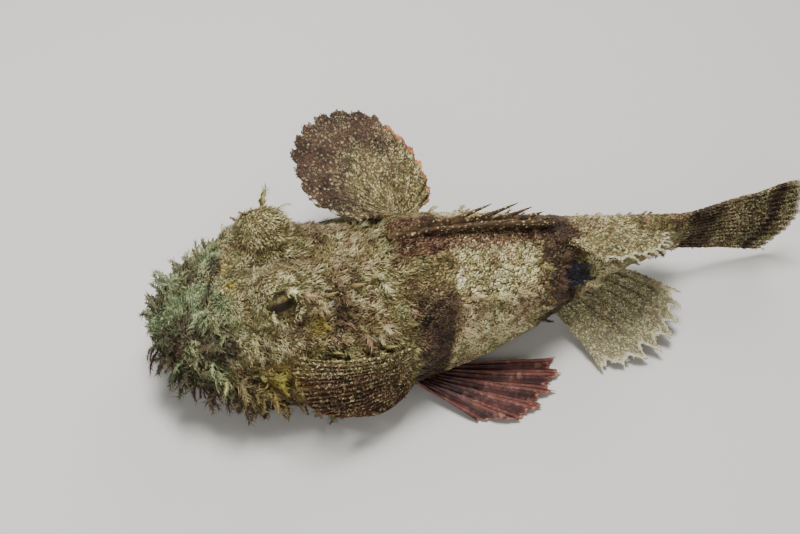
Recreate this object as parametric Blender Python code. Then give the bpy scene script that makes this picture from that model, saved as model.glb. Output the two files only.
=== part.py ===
"""Spotted scorpionfish resting on its belly, life size, nose toward -X, back toward +Z.

The origin is on the floor under the middle of the belly. Lengths are in metres. Most sizes of the
body are shares of the standard length, which runs from the snout to the root of the tail fin.
Places on the skin are (share of the standard length, degrees from the middle of the back).
"""

import math
import random

import bmesh
import bpy
from mathutils import Vector

# Driving dimensions
STANDARD = 0.225
NOSE_X = -0.088
GAP = 0.0003
FLOOR_BLOCK = 0.03
SEED = 7

# Outline of the body: (share of the standard length from the snout, share of it in height or width)
BACK = (
    (0.0, 0.150), (0.05, 0.186), (0.11, 0.228), (0.18, 0.248), (0.26, 0.250), (0.34, 0.264),
    (0.42, 0.280), (0.55, 0.266), (0.70, 0.224), (0.82, 0.188), (0.92, 0.168), (1.0, 0.165),
)
BELLY = (
    (0.0, 0.105), (0.04, 0.066), (0.10, 0.032), (0.20, 0.006), (0.30, -0.007), (0.42, -0.009),
    (0.55, -0.006), (0.64, 0.008), (0.72, 0.032), (0.82, 0.060), (0.92, 0.073), (1.0, 0.072),
)
HALF_WIDTH = (
    (0.0, 0.072), (0.05, 0.098), (0.12, 0.122), (0.20, 0.141), (0.30, 0.155), (0.38, 0.148),
    (0.48, 0.124), (0.60, 0.100), (0.72, 0.074), (0.84, 0.049), (0.93, 0.036), (1.0, 0.013),
)
WIDEST = (
    (0.0, 0.128), (0.10, 0.118), (0.25, 0.112), (0.40, 0.125), (0.60, 0.138), (0.80, 0.128), (1.0, 0.120),
)
UPPER_POWER = ((0.0, 2.1), (0.18, 2.35), (0.30, 1.85), (0.40, 1.8), (0.55, 1.8), (1.0, 2.0))
LOWER_POWER = ((0.0, 2.2), (0.2, 2.7), (0.5, 2.6), (0.8, 2.1), (1.0, 2.0))
SNOUT_ROUND = 0.075
GILL_EDGE = ((0, 0.362), (35, 0.370), (60, 0.402), (80, 0.430), (104, 0.408), (140, 0.352), (180, 0.326))
GILL_STEP = 0.0016
GILL_BLEND = 0.030
TAIL_START = 0.665

# Bumps and hollows of the skin: height, then place and reach as (share, degrees)
RELIEF = (
    (0.0034, 0.190, 36, 0.060, 17),
    (-0.0040, 0.180, 0, 0.050, 12),
    (-0.0042, 0.255, 0, 0.026, 15),
    (0.0024, 0.312, 24, 0.050, 7),
    (0.0028, 0.095, 24, 0.026, 11),
    (0.0036, 0.142, 34, 0.026, 14),
    (-0.0026, 0.128, 62, 0.030, 9),
    (0.0030, 0.215, 84, 0.085, 6),
    (0.0030, 0.285, 112, 0.050, 20),
    (0.0020, 0.345, 68, 0.045, 7),
    (-0.0016, 0.300, 92, 0.060, 6),
    (0.0022, 0.176, 104, 0.018, 9),
)

# Mouth: a line from the front of the lips back and down to the corner of the jaws
MOUTH = ((-0.02, 0.140), (0.03, 0.134), (0.08, 0.122), (0.13, 0.104), (0.178, 0.080))
JAW_BACK = ((0.170, 0.045), (0.145, -0.03))
LIP_HEIGHT = 0.0015
LIP_REACH = 0.0022

# Eyes, each a ball in a raised orbit with an opening that shows a cap of it
EYE_RADIUS = 0.0082
EYE_CENTRE = (0.186, 0.064, 0.243)
EYE_AIM = (-0.10, 0.88, 0.44)
ORBIT_RADIUS = 0.0101
BROW_EXTRA = 0.0012
EYE_OPENING = 0.0064
ORBIT_BLEND = 0.0044

# Tail swings to the fish's right and straightens again: (share, degrees)
TAIL_TURN = ((0.44, 0), (0.72, 11), (0.98, 3), (1.25, 0))
BEND_STEP = 0.002

COLOURS = {
    "head": ((0.17, 0.17, 0.09, 1), 0.75),
    "jaw": ((0.10, 0.15, 0.10, 1), 0.75),
    "body": ((0.20, 0.15, 0.09, 1), 0.75),
    "eye": ((0.10, 0.08, 0.03, 1), 0.2),
    "spiny_fin": ((0.15, 0.06, 0.04, 1), 0.7),
    "pale_fin": ((0.26, 0.25, 0.17, 1), 0.7),
    "pectoral": ((0.24, 0.20, 0.12, 1), 0.7),
    "pelvic": ((0.15, 0.03, 0.025, 1), 0.6),
}


def curve(points, share):
    """Smooth curve through (place, value) pairs."""
    places = [p[0] for p in points]
    values = [p[1] for p in points]
    if share <= places[0]:
        return values[0]
    if share >= places[-1]:
        return values[-1]
    i = max(k for k in range(len(places) - 1) if places[k] <= share)

    def slope(k):
        a, b = max(k - 1, 0), min(k + 1, len(places) - 1)
        return (values[b] - values[a]) / (places[b] - places[a])

    width = places[i + 1] - places[i]
    t = (share - places[i]) / width
    return (
        (2 * t**3 - 3 * t**2 + 1) * values[i]
        + (t**3 - 2 * t**2 + t) * width * slope(i)
        + (3 * t**2 - 2 * t**3) * values[i + 1]
        + (t**3 - t**2) * width * slope(i + 1)
    )


def ease(t):
    t = min(max(t, 0.0), 1.0)
    return t * t * (3 - 2 * t)


def gill_edge(angle):
    return curve(GILL_EDGE, math.degrees(abs(angle)))


def relief(share, angle):
    """Height of the skin's bumps and hollows at a place."""
    degrees = math.degrees(abs(angle))
    return sum(
        height * math.exp(-(((share - at) / reach) ** 2) - (((degrees - side) / spread) ** 2))
        for height, at, side, reach, spread in RELIEF
    )


def lip(x, z):
    """Swelling of the lips on both sides of the mouth's line."""
    share = (x - NOSE_X) / STANDARD
    fade = ease((MOUTH[-1][0] + 0.015 - share) / 0.03)
    apart = abs(z - curve(MOUTH, share) * STANDARD) - LIP_REACH
    return LIP_HEIGHT * fade * math.exp(-((apart / LIP_REACH) ** 2))


def eye_centre(side):
    share, across, height = EYE_CENTRE
    return Vector((NOSE_X + share * STANDARD, side * across * STANDARD, height * STANDARD))


def eye_aim(side):
    ahead, across, up = EYE_AIM
    return Vector((ahead, side * across, up)).normalized()


def climb(point, out, side, radius):
    """How far a point has to move along out to lie on a ball round the eye, less where it passes by."""
    away = point - eye_centre(side)
    along = away.dot(out)
    apart = away.length_squared - along * along
    inside = radius * radius - apart
    return -along + (math.sqrt(inside) if inside > 0 else -math.sqrt(-inside))


def raise_orbit(point, out, offset):
    """Lifts skin onto the rim that stands round each eye. The brow above is thicker."""
    for side in (-1, 1):
        if (point - eye_centre(side)).length > 2 * ORBIT_RADIUS:
            continue
        lift = climb(point, out, side, ORBIT_RADIUS + offset)
        towards = (point + out * max(lift, 0) - eye_centre(side)).normalized()
        brow = max(towards.dot(Vector((0.25, -0.15 * side, 0.95))), 0)
        lift = climb(point, out, side, ORBIT_RADIUS + BROW_EXTRA * brow**3 + offset)
        point = point + out * 0.5 * (lift + math.sqrt(lift * lift + ORBIT_BLEND * ORBIT_BLEND))
    return point


def body_point(share, angle, offset=0.0):
    """A point of the skin. The angle is 0 on the back and grows toward the fish's right, +Y."""
    top, low, half, middle = (curve(t, share) * STANDARD for t in (BACK, BELLY, HALF_WIDTH, WIDEST))
    rounding = math.sqrt(1 - (1 - min(share / SNOUT_ROUND, 1)) ** 2)
    side, up = math.sin(angle), math.cos(angle)
    power = curve(UPPER_POWER if up > 0 else LOWER_POWER, share)
    reach = top - middle if up > 0 else middle - low
    y = half * rounding * math.copysign(abs(side) ** (2 / power), side)
    z = middle + reach * rounding * math.copysign(abs(up) ** (2 / power), up)
    x = NOSE_X + share * STANDARD
    grow = rounding * (relief(share, angle) + lip(x, z)) + offset
    behind = share - gill_edge(angle)
    if behind > 0:
        grow -= GILL_STEP * (1 - ease(behind / GILL_BLEND))
    point = Vector((x, y + side * grow, z + up * grow))
    return raise_orbit(point, Vector((0, side, up)), offset) if share < 0.30 else point


def normal_at(share, angle):
    """Direction straight out of the skin."""
    along = body_point(share + 0.006, angle) - body_point(share - 0.006, angle)
    around = body_point(share, angle + 0.05) - body_point(share, angle - 0.05)
    return along.cross(around).normalized()


def bend(point):
    """Swings what lies behind the middle of the body to the side."""
    start = NOSE_X + TAIL_TURN[0][0] * STANDARD
    if point.x <= start:
        return point.copy()
    steps = math.ceil((point.x - start) / BEND_STEP)
    stride = (point.x - start) / steps
    x, y = start, 0.0
    for i in range(steps):
        turn = math.radians(curve(TAIL_TURN, (start + (i + 0.5) * stride - NOSE_X) / STANDARD))
        x += stride * math.cos(turn)
        y += stride * math.sin(turn)
    turn = math.radians(curve(TAIL_TURN, (point.x - NOSE_X) / STANDARD))
    return Vector((x - point.y * math.sin(turn), y + point.y * math.cos(turn), point.z))


def clear_scene():
    for obj in list(bpy.data.objects):
        bpy.data.objects.remove(obj)


def material(name):
    colour, roughness = COLOURS[name]
    made = bpy.data.materials.get(name)
    if made is None:
        made = bpy.data.materials.new(name)
        made.use_nodes = True
        shader = made.node_tree.nodes["Principled BSDF"]
        shader.inputs["Base Color"].default_value = colour
        shader.inputs["Roughness"].default_value = roughness
        shader.inputs["Metallic"].default_value = 0
    return made


def face_outward(obj):
    mesh = bmesh.new()
    mesh.from_mesh(obj.data)
    bmesh.ops.recalc_face_normals(mesh, faces=mesh.faces)
    mesh.to_mesh(obj.data)
    mesh.free()


def solid(name, points, faces, finish=None):
    mesh = bpy.data.meshes.new(name)
    mesh.from_pydata([tuple(p) for p in points], [], faces)
    obj = bpy.data.objects.new(name, mesh)
    bpy.context.collection.objects.link(obj)
    if finish:
        mesh.materials.append(material(finish))
    face_outward(obj)
    return obj


def rings(rows, start, end):
    """Points and faces of a closed tube through rows of points, with a point at each end."""
    count = len(rows[0])
    points = [start] + [p for row in rows for p in row] + [end]
    last = len(points) - 1
    faces = [(0, 1 + j, 1 + (j + 1) % count) for j in range(count)]
    for i in range(len(rows) - 1):
        a, b = 1 + i * count, 1 + (i + 1) * count
        for j in range(count):
            k = (j + 1) % count
            faces.append((a + j, b + j, b + k, a + k))
    a = 1 + (len(rows) - 1) * count
    faces += [(last, a + (j + 1) % count, a + j) for j in range(count)]
    return points, faces


def angles(count):
    return [2 * math.pi * j / count for j in range(count)]


def apply_modifiers(obj):
    graph = bpy.context.evaluated_depsgraph_get()
    mesh = bpy.data.meshes.new_from_object(obj.evaluated_get(graph))
    obj.modifiers.clear()
    obj.data = mesh


def is_closed(obj):
    mesh = bmesh.new()
    mesh.from_mesh(obj.data)
    closed = len(mesh.faces) > 0 and all(edge.is_manifold for edge in mesh.edges)
    mesh.free()
    return closed


def boolean(obj, other, operation):
    """Cuts with an object, or joins with every object of a collection."""
    before = obj.data.copy()
    for solver in ("EXACT", "MANIFOLD"):
        modifier = obj.modifiers.new(operation.title(), "BOOLEAN")
        modifier.operation = operation
        modifier.solver = solver
        if isinstance(other, bpy.types.Collection):
            modifier.operand_type = "COLLECTION"
            modifier.collection = other
        else:
            modifier.object = other
        apply_modifiers(obj)
        if is_closed(obj):
            break
        obj.data = before.copy()
    keep_largest(obj)


def keep_largest(obj):
    """Drops every loose scrap that a cut leaves."""
    mesh = bmesh.new()
    mesh.from_mesh(obj.data)
    left, groups = set(mesh.faces), []
    while left:
        group, edge = set(), [left.pop()]
        while edge:
            face = edge.pop()
            group.add(face)
            near = {f for e in face.edges for f in e.link_faces} & left
            left -= near
            edge.extend(near)
        groups.append(group)
    groups.sort(key=lambda g: sum(f.calc_area() for f in g))
    scraps = [f for g in groups[:-1] for f in g]
    bmesh.ops.delete(mesh, geom=scraps, context="FACES")
    loose = [v for v in mesh.verts if not v.link_faces]
    bmesh.ops.delete(mesh, geom=loose, context="VERTS")
    mesh.to_mesh(obj.data)
    mesh.free()


def join_pieces(obj, pieces):
    """Fuses flaps and spines, whose roots are sunk in, to the piece that they grow from."""
    group = bpy.data.collections.new("pieces")
    bpy.context.scene.collection.children.link(group)
    for piece in pieces:
        bpy.context.collection.objects.unlink(piece)
        group.objects.link(piece)
    boolean(obj, group, "UNION")
    for piece in pieces:
        bpy.data.objects.remove(piece)
    bpy.data.collections.remove(group)


def block(low, high):
    corners = [(x, y, z) for x in (low[0], high[0]) for y in (low[1], high[1]) for z in (low[2], high[2])]
    faces = [(0, 1, 3, 2), (4, 6, 7, 5), (0, 4, 5, 1), (2, 3, 7, 6), (0, 2, 6, 4), (1, 5, 7, 3)]
    return solid("block", corners, faces)


def cut_away(obj, cutter, operation="DIFFERENCE"):
    boolean(obj, cutter, operation)
    bpy.data.objects.remove(cutter)


def cut_at_floor(obj):
    """Leaves a flat where the piece would reach below the floor."""
    if min(v.co.z for v in obj.data.vertices) < 0:
        cut_away(obj, block((-1, -1, -FLOOR_BLOCK), (1, 1, 0)))


def prism(outline, half):
    """A block with an outline in the XZ plane, from -half to half in Y."""
    count = len(outline)
    points = [(x, -half, z) for x, z in outline] + [(x, half, z) for x, z in outline]
    faces = [tuple(range(count)), tuple(range(2 * count - 1, count - 1, -1))]
    faces += [(i, i + count, (i + 1) % count + count, (i + 1) % count) for i in range(count)]
    return solid("prism", points, faces)


def ball(name, centre, radius, finish=None, segments=20, rows=12):
    mesh = bmesh.new()
    bmesh.ops.create_uvsphere(mesh, u_segments=segments, v_segments=rows, radius=radius)
    bmesh.ops.translate(mesh, verts=mesh.verts, vec=centre)
    data = bpy.data.meshes.new(name)
    mesh.to_mesh(data)
    mesh.free()
    obj = bpy.data.objects.new(name, data)
    bpy.context.collection.objects.link(obj)
    if finish:
        data.materials.append(material(finish))
    return obj


def flap(root, out, lie, length, width, curl=0.6, forks=1):
    """A flat tapered lock of skin. It leaves along out and bends toward lie, with one or two tips."""
    across = out.cross(lie).normalized()
    steps = 3
    places, place, heading = [], root - out * 0.0016, out.copy()
    for k in range(steps + 1):
        places.append((place.copy(), heading.copy()))
        heading = (out * (1 - curl * (k + 1) / steps) + lie * curl * (k + 1) / steps).normalized()
        place = place + heading * (length + 0.0016) / steps
    points = []
    for k, (centre, heading) in enumerate(places[:-1]):
        half = width / 2 * (1.0, 1.15, 0.8)[k]
        thick = 0.0005 - 0.0001 * k
        up = across.cross(heading).normalized() * thick
        points += [centre - across * half - up, centre + across * half - up]
        points += [centre + across * half + up, centre - across * half + up]
    faces = [(3, 2, 1, 0)]
    for k in range(steps - 1):
        a, b = 4 * k, 4 * k + 4
        faces += [(a + j, a + (j + 1) % 4, b + (j + 1) % 4, b + j) for j in range(4)]
    a = 4 * (steps - 1)
    tip, heading = places[-1]
    if forks == 1:
        points.append(tip)
        t = len(points) - 1
        faces += [(a + j, a + (j + 1) % 4, t) for j in range(4)]
    else:
        middle = (points[a] + points[a + 1] + points[a + 2] + points[a + 3]) / 4
        notch = middle + (tip - middle) * 0.35
        spread = across * width * 0.45
        points += [tip - spread, tip + spread, notch - up * 0.6, notch + up * 0.6]
        left, right, low, high = range(len(points) - 4, len(points))
        faces += [(a, a + 1, low), (a + 1, right, low), (a, low, left), (a + 2, a + 3, high)]
        faces += [(a + 2, high, right), (a + 3, left, high), (a + 1, a + 2, right), (a + 3, a, left)]
        faces += [(low, right, high), (low, high, left)]
    return solid("flap", points, faces)


def thorn(root, aim, length, radius, sides=5):
    """A sharp bony spine, sunk in at its root."""
    side = aim.orthogonal().normalized()
    other = aim.cross(side).normalized()
    rows = []
    for reach, share in ((-0.35, 1.0), (0.45, 0.62)):
        centre = root + aim * length * reach
        size = radius * share
        rows.append([centre + (side * math.cos(a) + other * math.sin(a)) * size for a in angles(sides)])
    return solid("thorn", *rings(rows, root - aim * length * 0.45, root + aim * length))


def skin_flap(share, degrees, side, length, width, lie=(1, 0, -0.4), curl=0.6, forks=1):
    """A flap of skin at a place, bending toward a direction given for the fish's right side."""
    angle = side * math.radians(degrees)
    towards = Vector((lie[0], side * lie[1], lie[2])).normalized()
    return flap(body_point(share, angle), normal_at(share, angle), towards, length, width, curl, forks)


def skin_thorn(share, degrees, side, length, radius, back=1.0):
    """A spine at a place that points backward and out."""
    angle = side * math.radians(degrees)
    aim = (normal_at(share, angle) + Vector((back, 0, 0.1))).normalized()
    return thorn(body_point(share, angle), aim, length, radius)


def jaw_outline(shift):
    points = MOUTH + JAW_BACK + ((-0.02, -0.03),)
    return [(NOSE_X + s * STANDARD + shift, z * STANDARD + shift) for s, z in points]


def gill_centre():
    return Vector((NOSE_X + 0.372 * STANDARD, 0, 0.14 * STANDARD))


def head_mesh():
    """Snout to gill edge. The last row follows the gill cover's edge."""
    columns = angles(60)
    shares = [(k / 30) ** 1.25 for k in range(1, 31)]
    rows = [[body_point(t * gill_edge(a), a) for a in columns] for t in shares]
    return rings(rows, body_point(0, 0), gill_centre())


def trunk_mesh():
    """Gill edge to the start of the tail. The first row lies on the back face of the head."""
    columns = angles(60)
    centre = gill_centre()
    shift = Vector((GAP, 0, 0))
    first = []
    for a in columns:
        rim = body_point(gill_edge(a), a)
        inward = 1 - GILL_STEP / (rim - centre).length
        first.append(centre + (rim - centre) * inward + shift)
    rows = [first]
    end = TAIL_START - GAP / STANDARD / 2
    for k in range(1, 13):
        t = (k / 12) ** 1.15
        rows.append([body_point(gill_edge(a) + t * (end - gill_edge(a)), a) for a in columns])
    back = Vector((NOSE_X + end * STANDARD, 0, curve(WIDEST, end) * STANDARD))
    return rings(rows, centre + shift, back)


def tail_mesh():
    columns = angles(28)
    start = TAIL_START + GAP / STANDARD / 2
    rows = []
    for k in range(12):
        share = start + (1 - start) * (1 - (1 - k / 11) ** 1.3)
        rows.append([body_point(share, a) for a in columns])
    ends = [Vector((NOSE_X + s * STANDARD, 0, curve(WIDEST, s) * STANDARD)) for s in (start, 1.0)]
    return rings(rows, *ends)


def body_cutter():
    """The whole skin, grown by the gap, which shapes the roots of the fins."""
    columns = angles(60)
    rows = [[body_point((k / 90) ** 1.1, a, GAP) for a in columns] for k in range(1, 91)]
    nose = body_point(0, 0) - Vector((GAP, 0, 0))
    end = Vector((NOSE_X + STANDARD + GAP, 0, curve(WIDEST, 1) * STANDARD))
    rows[-1] = [p + Vector((GAP, 0, 0)) for p in rows[-1]]
    return solid("cutter", *rings(rows, nose, end))


def fin_sheet(rays, rows, thick, notch):
    """A closed thin sheet over rays.

    Each ray is a function of 0..1 that gives a point. Rays stand out as ridges of thick[0] at the root
    and thick[1] at the tip, thick[2] is the membrane. The membrane reaches notch of the way to the tips.
    """
    columns = []
    for i, ray in enumerate(rays):
        columns.append((ray, 1.0, True))
        if i + 1 < len(rays):
            after = rays[i + 1]
            columns.append((lambda v, a=ray, b=after: (a(v) + b(v)) / 2, notch, False))
    grid = [[line(reach * k / rows) for k in range(rows + 1)] for line, reach, _ in columns]
    count = len(columns)

    def across(i, k):
        before, after = grid[max(i - 1, 0)][k], grid[min(i + 1, count - 1)][k]
        low, high = grid[i][max(k - 1, 0)], grid[i][min(k + 1, rows)]
        return (after - before).cross(high - low).normalized()

    points = []
    for face in (1, -1):
        for i in range(count):
            for k in range(rows + 1):
                ridge = thick[0] + (thick[1] - thick[0]) * k / rows
                half = (ridge if columns[i][2] else thick[2]) / 2
                points.append(grid[i][k] + across(i, k) * half * face)
    size = count * (rows + 1)
    faces = []
    for i in range(count - 1):
        for k in range(rows):
            a, b = i * (rows + 1) + k, (i + 1) * (rows + 1) + k
            for one in ((a, b, b + 1), (a, b + 1, a + 1)):
                faces.append(one)
                faces.append(tuple(size + n for n in reversed(one)))
    edge = [i * (rows + 1) for i in range(count)]
    edge += [(count - 1) * (rows + 1) + k for k in range(1, rows + 1)]
    edge += [i * (rows + 1) + rows for i in reversed(range(count - 1))]
    edge += list(range(rows - 1, 0, -1))
    for n, a in enumerate(edge):
        b = edge[(n + 1) % len(edge)]
        faces += [(a, size + a, size + b), (a, size + b, b)]
    return points, faces


def ray_line(root, direction, length, droop=0.0, bow=None):
    """A ray from a point. Its tip is lowered by droop and its middle moved by bow."""
    along = direction.normalized() * length
    bow = bow or Vector((0, 0, 0))
    return lambda v: root + along * v - Vector((0, 0, droop * v * v)) + bow * 4 * v * (1 - v)


def outward(side, swing, rise):
    """A direction: a swing of 0 is toward the tail, 90 to the side and 180 to the nose. Rise lifts it."""
    b, r = math.radians(swing), math.radians(rise)
    return Vector((math.cos(b) * math.cos(r), side * math.sin(b) * math.cos(r), math.sin(r)))


def fan(side, places, aims, lengths, count, sink, droop=0.0, bow=None):
    """Rays from a line on the body. Each table runs from the first ray, at 0, to the last, at 1."""
    rays = []
    for i in range(count):
        u = i / (count - 1)
        share, degrees = curve(places[0], u), curve(places[1], u)
        root = body_point(share, side * math.radians(degrees), -sink)
        aim = outward(side, curve(aims[0], u), curve(aims[1], u))
        rays.append(ray_line(root, aim, curve(lengths, u) * STANDARD + sink, droop, bow))
    return rays


def pectoral_right():
    """Spread behind the gill cover like a wing. Its top ray leads, over the shoulder of the nape."""
    places = (((0, 0.440), (1, 0.430)), ((0, 80), (1, 40)))
    aims = (((0, 30), (0.5, 104), (0.85, 164), (1, 196)), ((0, 20), (0.5, 15), (0.85, 17), (1, 24)))
    lengths = (
        (0, 0.085), (0.2, 0.150), (0.45, 0.225), (0.62, 0.225), (0.8, 0.175), (0.92, 0.135), (1, 0.085),
    )
    return fan(1, places, aims, lengths, 19, 0.004, 0.0, Vector((0, 0, 0.0032)))


def pectoral_left():
    """Reaches forward and down beside the cheek, to just above the floor."""
    places = (((0, 0.440), (1, 0.425)), ((0, 78), (1, 116)))
    aims = (((0, 168), (0.5, 163), (1, 154)), ((0, 15), (0.5, 9), (1, 0)))
    lengths = ((0, 0.250), (0.3, 0.250), (0.6, 0.215), (1, 0.125))
    return fan(-1, places, aims, lengths, 19, 0.004, 0.0, Vector((0, -0.0065, 0.001)))


def pelvic_rays(side):
    """A short spine and five soft rays, flat on the floor under the belly's side."""
    places = (((0, 0.405), (1, 0.425)), ((0, 136), (1, 156)))
    rays = []
    for i, (swing, length) in enumerate(((46, 28), (39, 42), (32, 48), (25, 52), (18, 56), (12, 56))):
        u = i / 5
        root = body_point(curve(places[0], u), side * math.radians(curve(places[1], u)), -0.004)
        rays.append(ray_line(root, outward(side, swing, 0), length / 1000 + 0.004, root.z - 0.0006))
    return rays


def soft_rays(count=10, sink=0.005):
    """Soft part of the back fin, laid over to the fish's left."""
    rays = []
    lean = math.radians(74)
    for i in range(count):
        u = i / (count - 1)
        share = 0.690 + 0.130 * u
        root = Vector((NOSE_X + share * STANDARD, 0, curve(BACK, share) * STANDARD - sink))
        rise = math.radians(74 - 44 * u)
        length = STANDARD * (0.078 + 0.052 * math.sin(math.pi * (0.1 + 0.8 * u)))
        aim = Vector((math.cos(rise), -math.sin(rise) * math.sin(lean), math.sin(rise) * math.cos(lean)))
        rays.append(ray_line(root, aim, length + sink))
    return rays


def anal_rays(count=8, sink=0.004):
    """Laid over to the fish's left, with its tips near the floor."""
    rays = []
    for i in range(count):
        u = i / (count - 1)
        share = 0.700 + 0.120 * u
        root = Vector((NOSE_X + share * STANDARD, 0, curve(BELLY, share) * STANDARD + sink))
        aim = outward(-1, 78 - 50 * u, 0)
        length = STANDARD * (0.155 + 0.060 * math.sin(math.pi * (0.08 + 0.72 * u)) - 0.030 * u * u)
        rays.append(ray_line(root, aim, length, root.z - 0.0012 - 0.008 * u))
    return rays


def caudal_rays(count=14, sink=0.004):
    rays = []
    low, high = curve(BELLY, 1) * STANDARD + 0.0015, curve(BACK, 1) * STANDARD - 0.0015
    for i in range(count):
        u = i / (count - 1)
        root = Vector((NOSE_X + STANDARD - sink, 0, low + (high - low) * u))
        tilt = math.radians(26 * (u - 0.5))
        length = STANDARD * (0.234 + 0.030 * math.sin(math.pi * u))
        rays.append(ray_line(root, Vector((math.cos(tilt), 0, math.sin(tilt))), length + sink))
    return rays


def add_fin(name, rays, rows, thick, notch, finish, cutter):
    fin = solid(name, *fin_sheet(rays, rows, thick, notch), finish)
    boolean(fin, cutter, "DIFFERENCE")
    cut_at_floor(fin)
    return fin


def add_spiny_fin(cutter, count=12):
    """Twelve sharp spines folded back over a low fleshy ridge, leaning left and right by turns."""
    lengths = (
        (0, 0.060), (0.1, 0.095), (0.2, 0.125), (0.4, 0.125), (0.6, 0.100), (0.8, 0.072), (0.9, 0.050), (1, 0.030),
    )
    heights = ((0, 0.0012), (0.15, 0.0040), (0.6, 0.0046), (0.85, 0.0034), (1, 0.0012))
    steps = 22
    points, faces = [], []
    for k in range(steps + 1):
        share = 0.380 + 0.292 * k / steps
        x, z = NOSE_X + share * STANDARD, curve(BACK, share) * STANDARD
        tall = curve(heights, k / steps) + (0.0009 if k % 2 else 0)
        points += [Vector((x, -0.0019, z - 0.003)), Vector((x, 0.0019, z - 0.003))]
        points += [Vector((x, 0.0007, z + tall)), Vector((x, -0.0007, z + tall))]
    for k in range(steps):
        a, b = 4 * k, 4 * k + 4
        faces += [(a + j, a + (j + 1) % 4, b + (j + 1) % 4, b + j) for j in range(4)]
    faces += [(3, 2, 1, 0), (4 * steps, 4 * steps + 1, 4 * steps + 2, 4 * steps + 3)]
    fin = solid("dorsal_fin_spiny", points, faces, "spiny_fin")
    spines = []
    for i in range(count):
        u = i / (count - 1)
        share = 0.388 + 0.268 * u
        root = Vector((NOSE_X + share * STANDARD, 0, curve(BACK, share) * STANDARD + 0.0008))
        slope = math.degrees(math.atan2(curve(BACK, share + 0.02) - curve(BACK, share - 0.02), 0.04))
        rise = math.radians(min(7, slope + 9))
        lean = math.radians(9 * (-1) ** i)
        aim = Vector((math.cos(rise) * math.cos(lean), math.sin(lean), math.sin(rise)))
        spines.append(thorn(root, aim, curve(lengths, u) * STANDARD, 0.0013))
    join_pieces(fin, spines)
    boolean(fin, cutter, "DIFFERENCE")
    return fin


def head_pieces():
    """Spines, nostrils' flaps, eye tassels and the fringes of snout, cheek and gill cover.

    The left cheek's lower fringe is left out, where the left pectoral fin lies over it, and so are
    the right spines and flaps of the nape's shoulder, where the right pectoral fin passes over them.
    """
    pieces = []
    for side in (-1, 1):
        brow = eye_centre(side) + Vector((0.001, side * 0.001, ORBIT_RADIUS + 0.0004))
        out = Vector((0.1, side * 0.25, 1)).normalized()
        pieces.append(flap(brow, out, Vector((0.7, side * 0.8, 0.4)).normalized(), 0.0090, 0.0044, 0.7, 2))
        back_of_brow = brow + Vector((0.0062, side * 0.001, -0.0022))
        pieces.append(flap(back_of_brow, out, Vector((1, side * 0.5, 0.2)).normalized(), 0.0060, 0.0030, 0.8))
        for share, degrees, length, radius in (
            (0.262, 27, 0.0050, 0.0013), (0.305, 26, 0.0055, 0.0014), (0.338, 24, 0.0050, 0.0013),
            (0.262, 62, 0.0045, 0.0012), (0.330, 84, 0.0065, 0.0015), (0.322, 96, 0.0045, 0.0013),
            (0.312, 110, 0.0042, 0.0012), (0.346, 64, 0.0045, 0.0013),
        ):
            under_fin = side > 0 and share > 0.3 and degrees < 80
            if under_fin or side < 0 and degrees > 80:
                continue
            pieces.append(skin_thorn(share, degrees, side, length, radius))
        pieces.append(skin_flap(0.092, 38, side, 0.0065, 0.0034, (0.2, 0.6, 0.8), 0.5, 2))
        for share, degrees, length, width, forks in (
            (0.040, 26, 0.0055, 0.0030, 1), (0.060, 58, 0.0060, 0.0032, 2), (0.085, 72, 0.0075, 0.0036, 2),
            (0.120, 84, 0.0085, 0.0040, 2), (0.150, 74, 0.0060, 0.0032, 1), (0.190, 88, 0.0065, 0.0036, 2),
            (0.225, 98, 0.0075, 0.0040, 1), (0.262, 118, 0.0070, 0.0038, 2), (0.285, 104, 0.0060, 0.0034, 1),
            (0.240, 134, 0.0065, 0.0036, 1), (0.205, 122, 0.0070, 0.0036, 2),
        ):
            if side < 0 and share > 0.2 and degrees > 95:
                continue
            pieces.append(skin_flap(share, degrees, side, length, width, (0.6, 0.5, -0.7), 0.65, forks))
        for share, degrees, length, width in (
            (0.150, 22, 0.0045, 0.0026), (0.235, 44, 0.0050, 0.0030), (0.285, 40, 0.0055, 0.0030),
            (0.320, 48, 0.0055, 0.0030), (0.280, 56, 0.0050, 0.0030),
        ):
            if side > 0 and share > 0.28:
                continue
            pieces.append(skin_flap(share, degrees, side, length, width, (0.9, 0.4, 0.1), 0.6))
    return pieces


def jaw_pieces():
    """Beard of flaps along the lower jaw."""
    pieces = []
    rng = random.Random(SEED)
    for side in (-1, 1):
        for share, degrees in (
            (0.018, 118), (0.045, 108), (0.045, 140), (0.080, 112), (0.080, 140), (0.118, 118), (0.118, 146),
        ):
            length = rng.uniform(0.0060, 0.0095)
            lie = (rng.uniform(-0.2, 0.6), 0.5, -0.6)
            pieces.append(skin_flap(share, degrees, side, length, 0.0036, lie, 0.5, rng.choice((1, 2))))
    pieces.append(skin_flap(0.008, 176, 1, 0.0075, 0.0036, (-0.8, 0, -0.4), 0.5, 2))
    return pieces


def side_pieces(first, last, count):
    """Small flaps along the lateral line and a scatter above and below it."""
    pieces = []
    rng = random.Random(SEED + count)
    for side in (-1, 1):
        for i in range(count):
            share = first + (last - first) * i / (count - 1)
            line = curve(((0.40, 48), (0.60, 62), (0.80, 82), (1.0, 90)), share)
            degrees = line + (0, 22, -18, 40)[i % 4] * (1 if share < 0.65 else 0.5)
            length = rng.uniform(0.0038, 0.0058)
            pieces.append(skin_flap(share, degrees, side, length, 0.0028, (1, 0.3, -0.3), 0.7))
    return pieces


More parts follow.
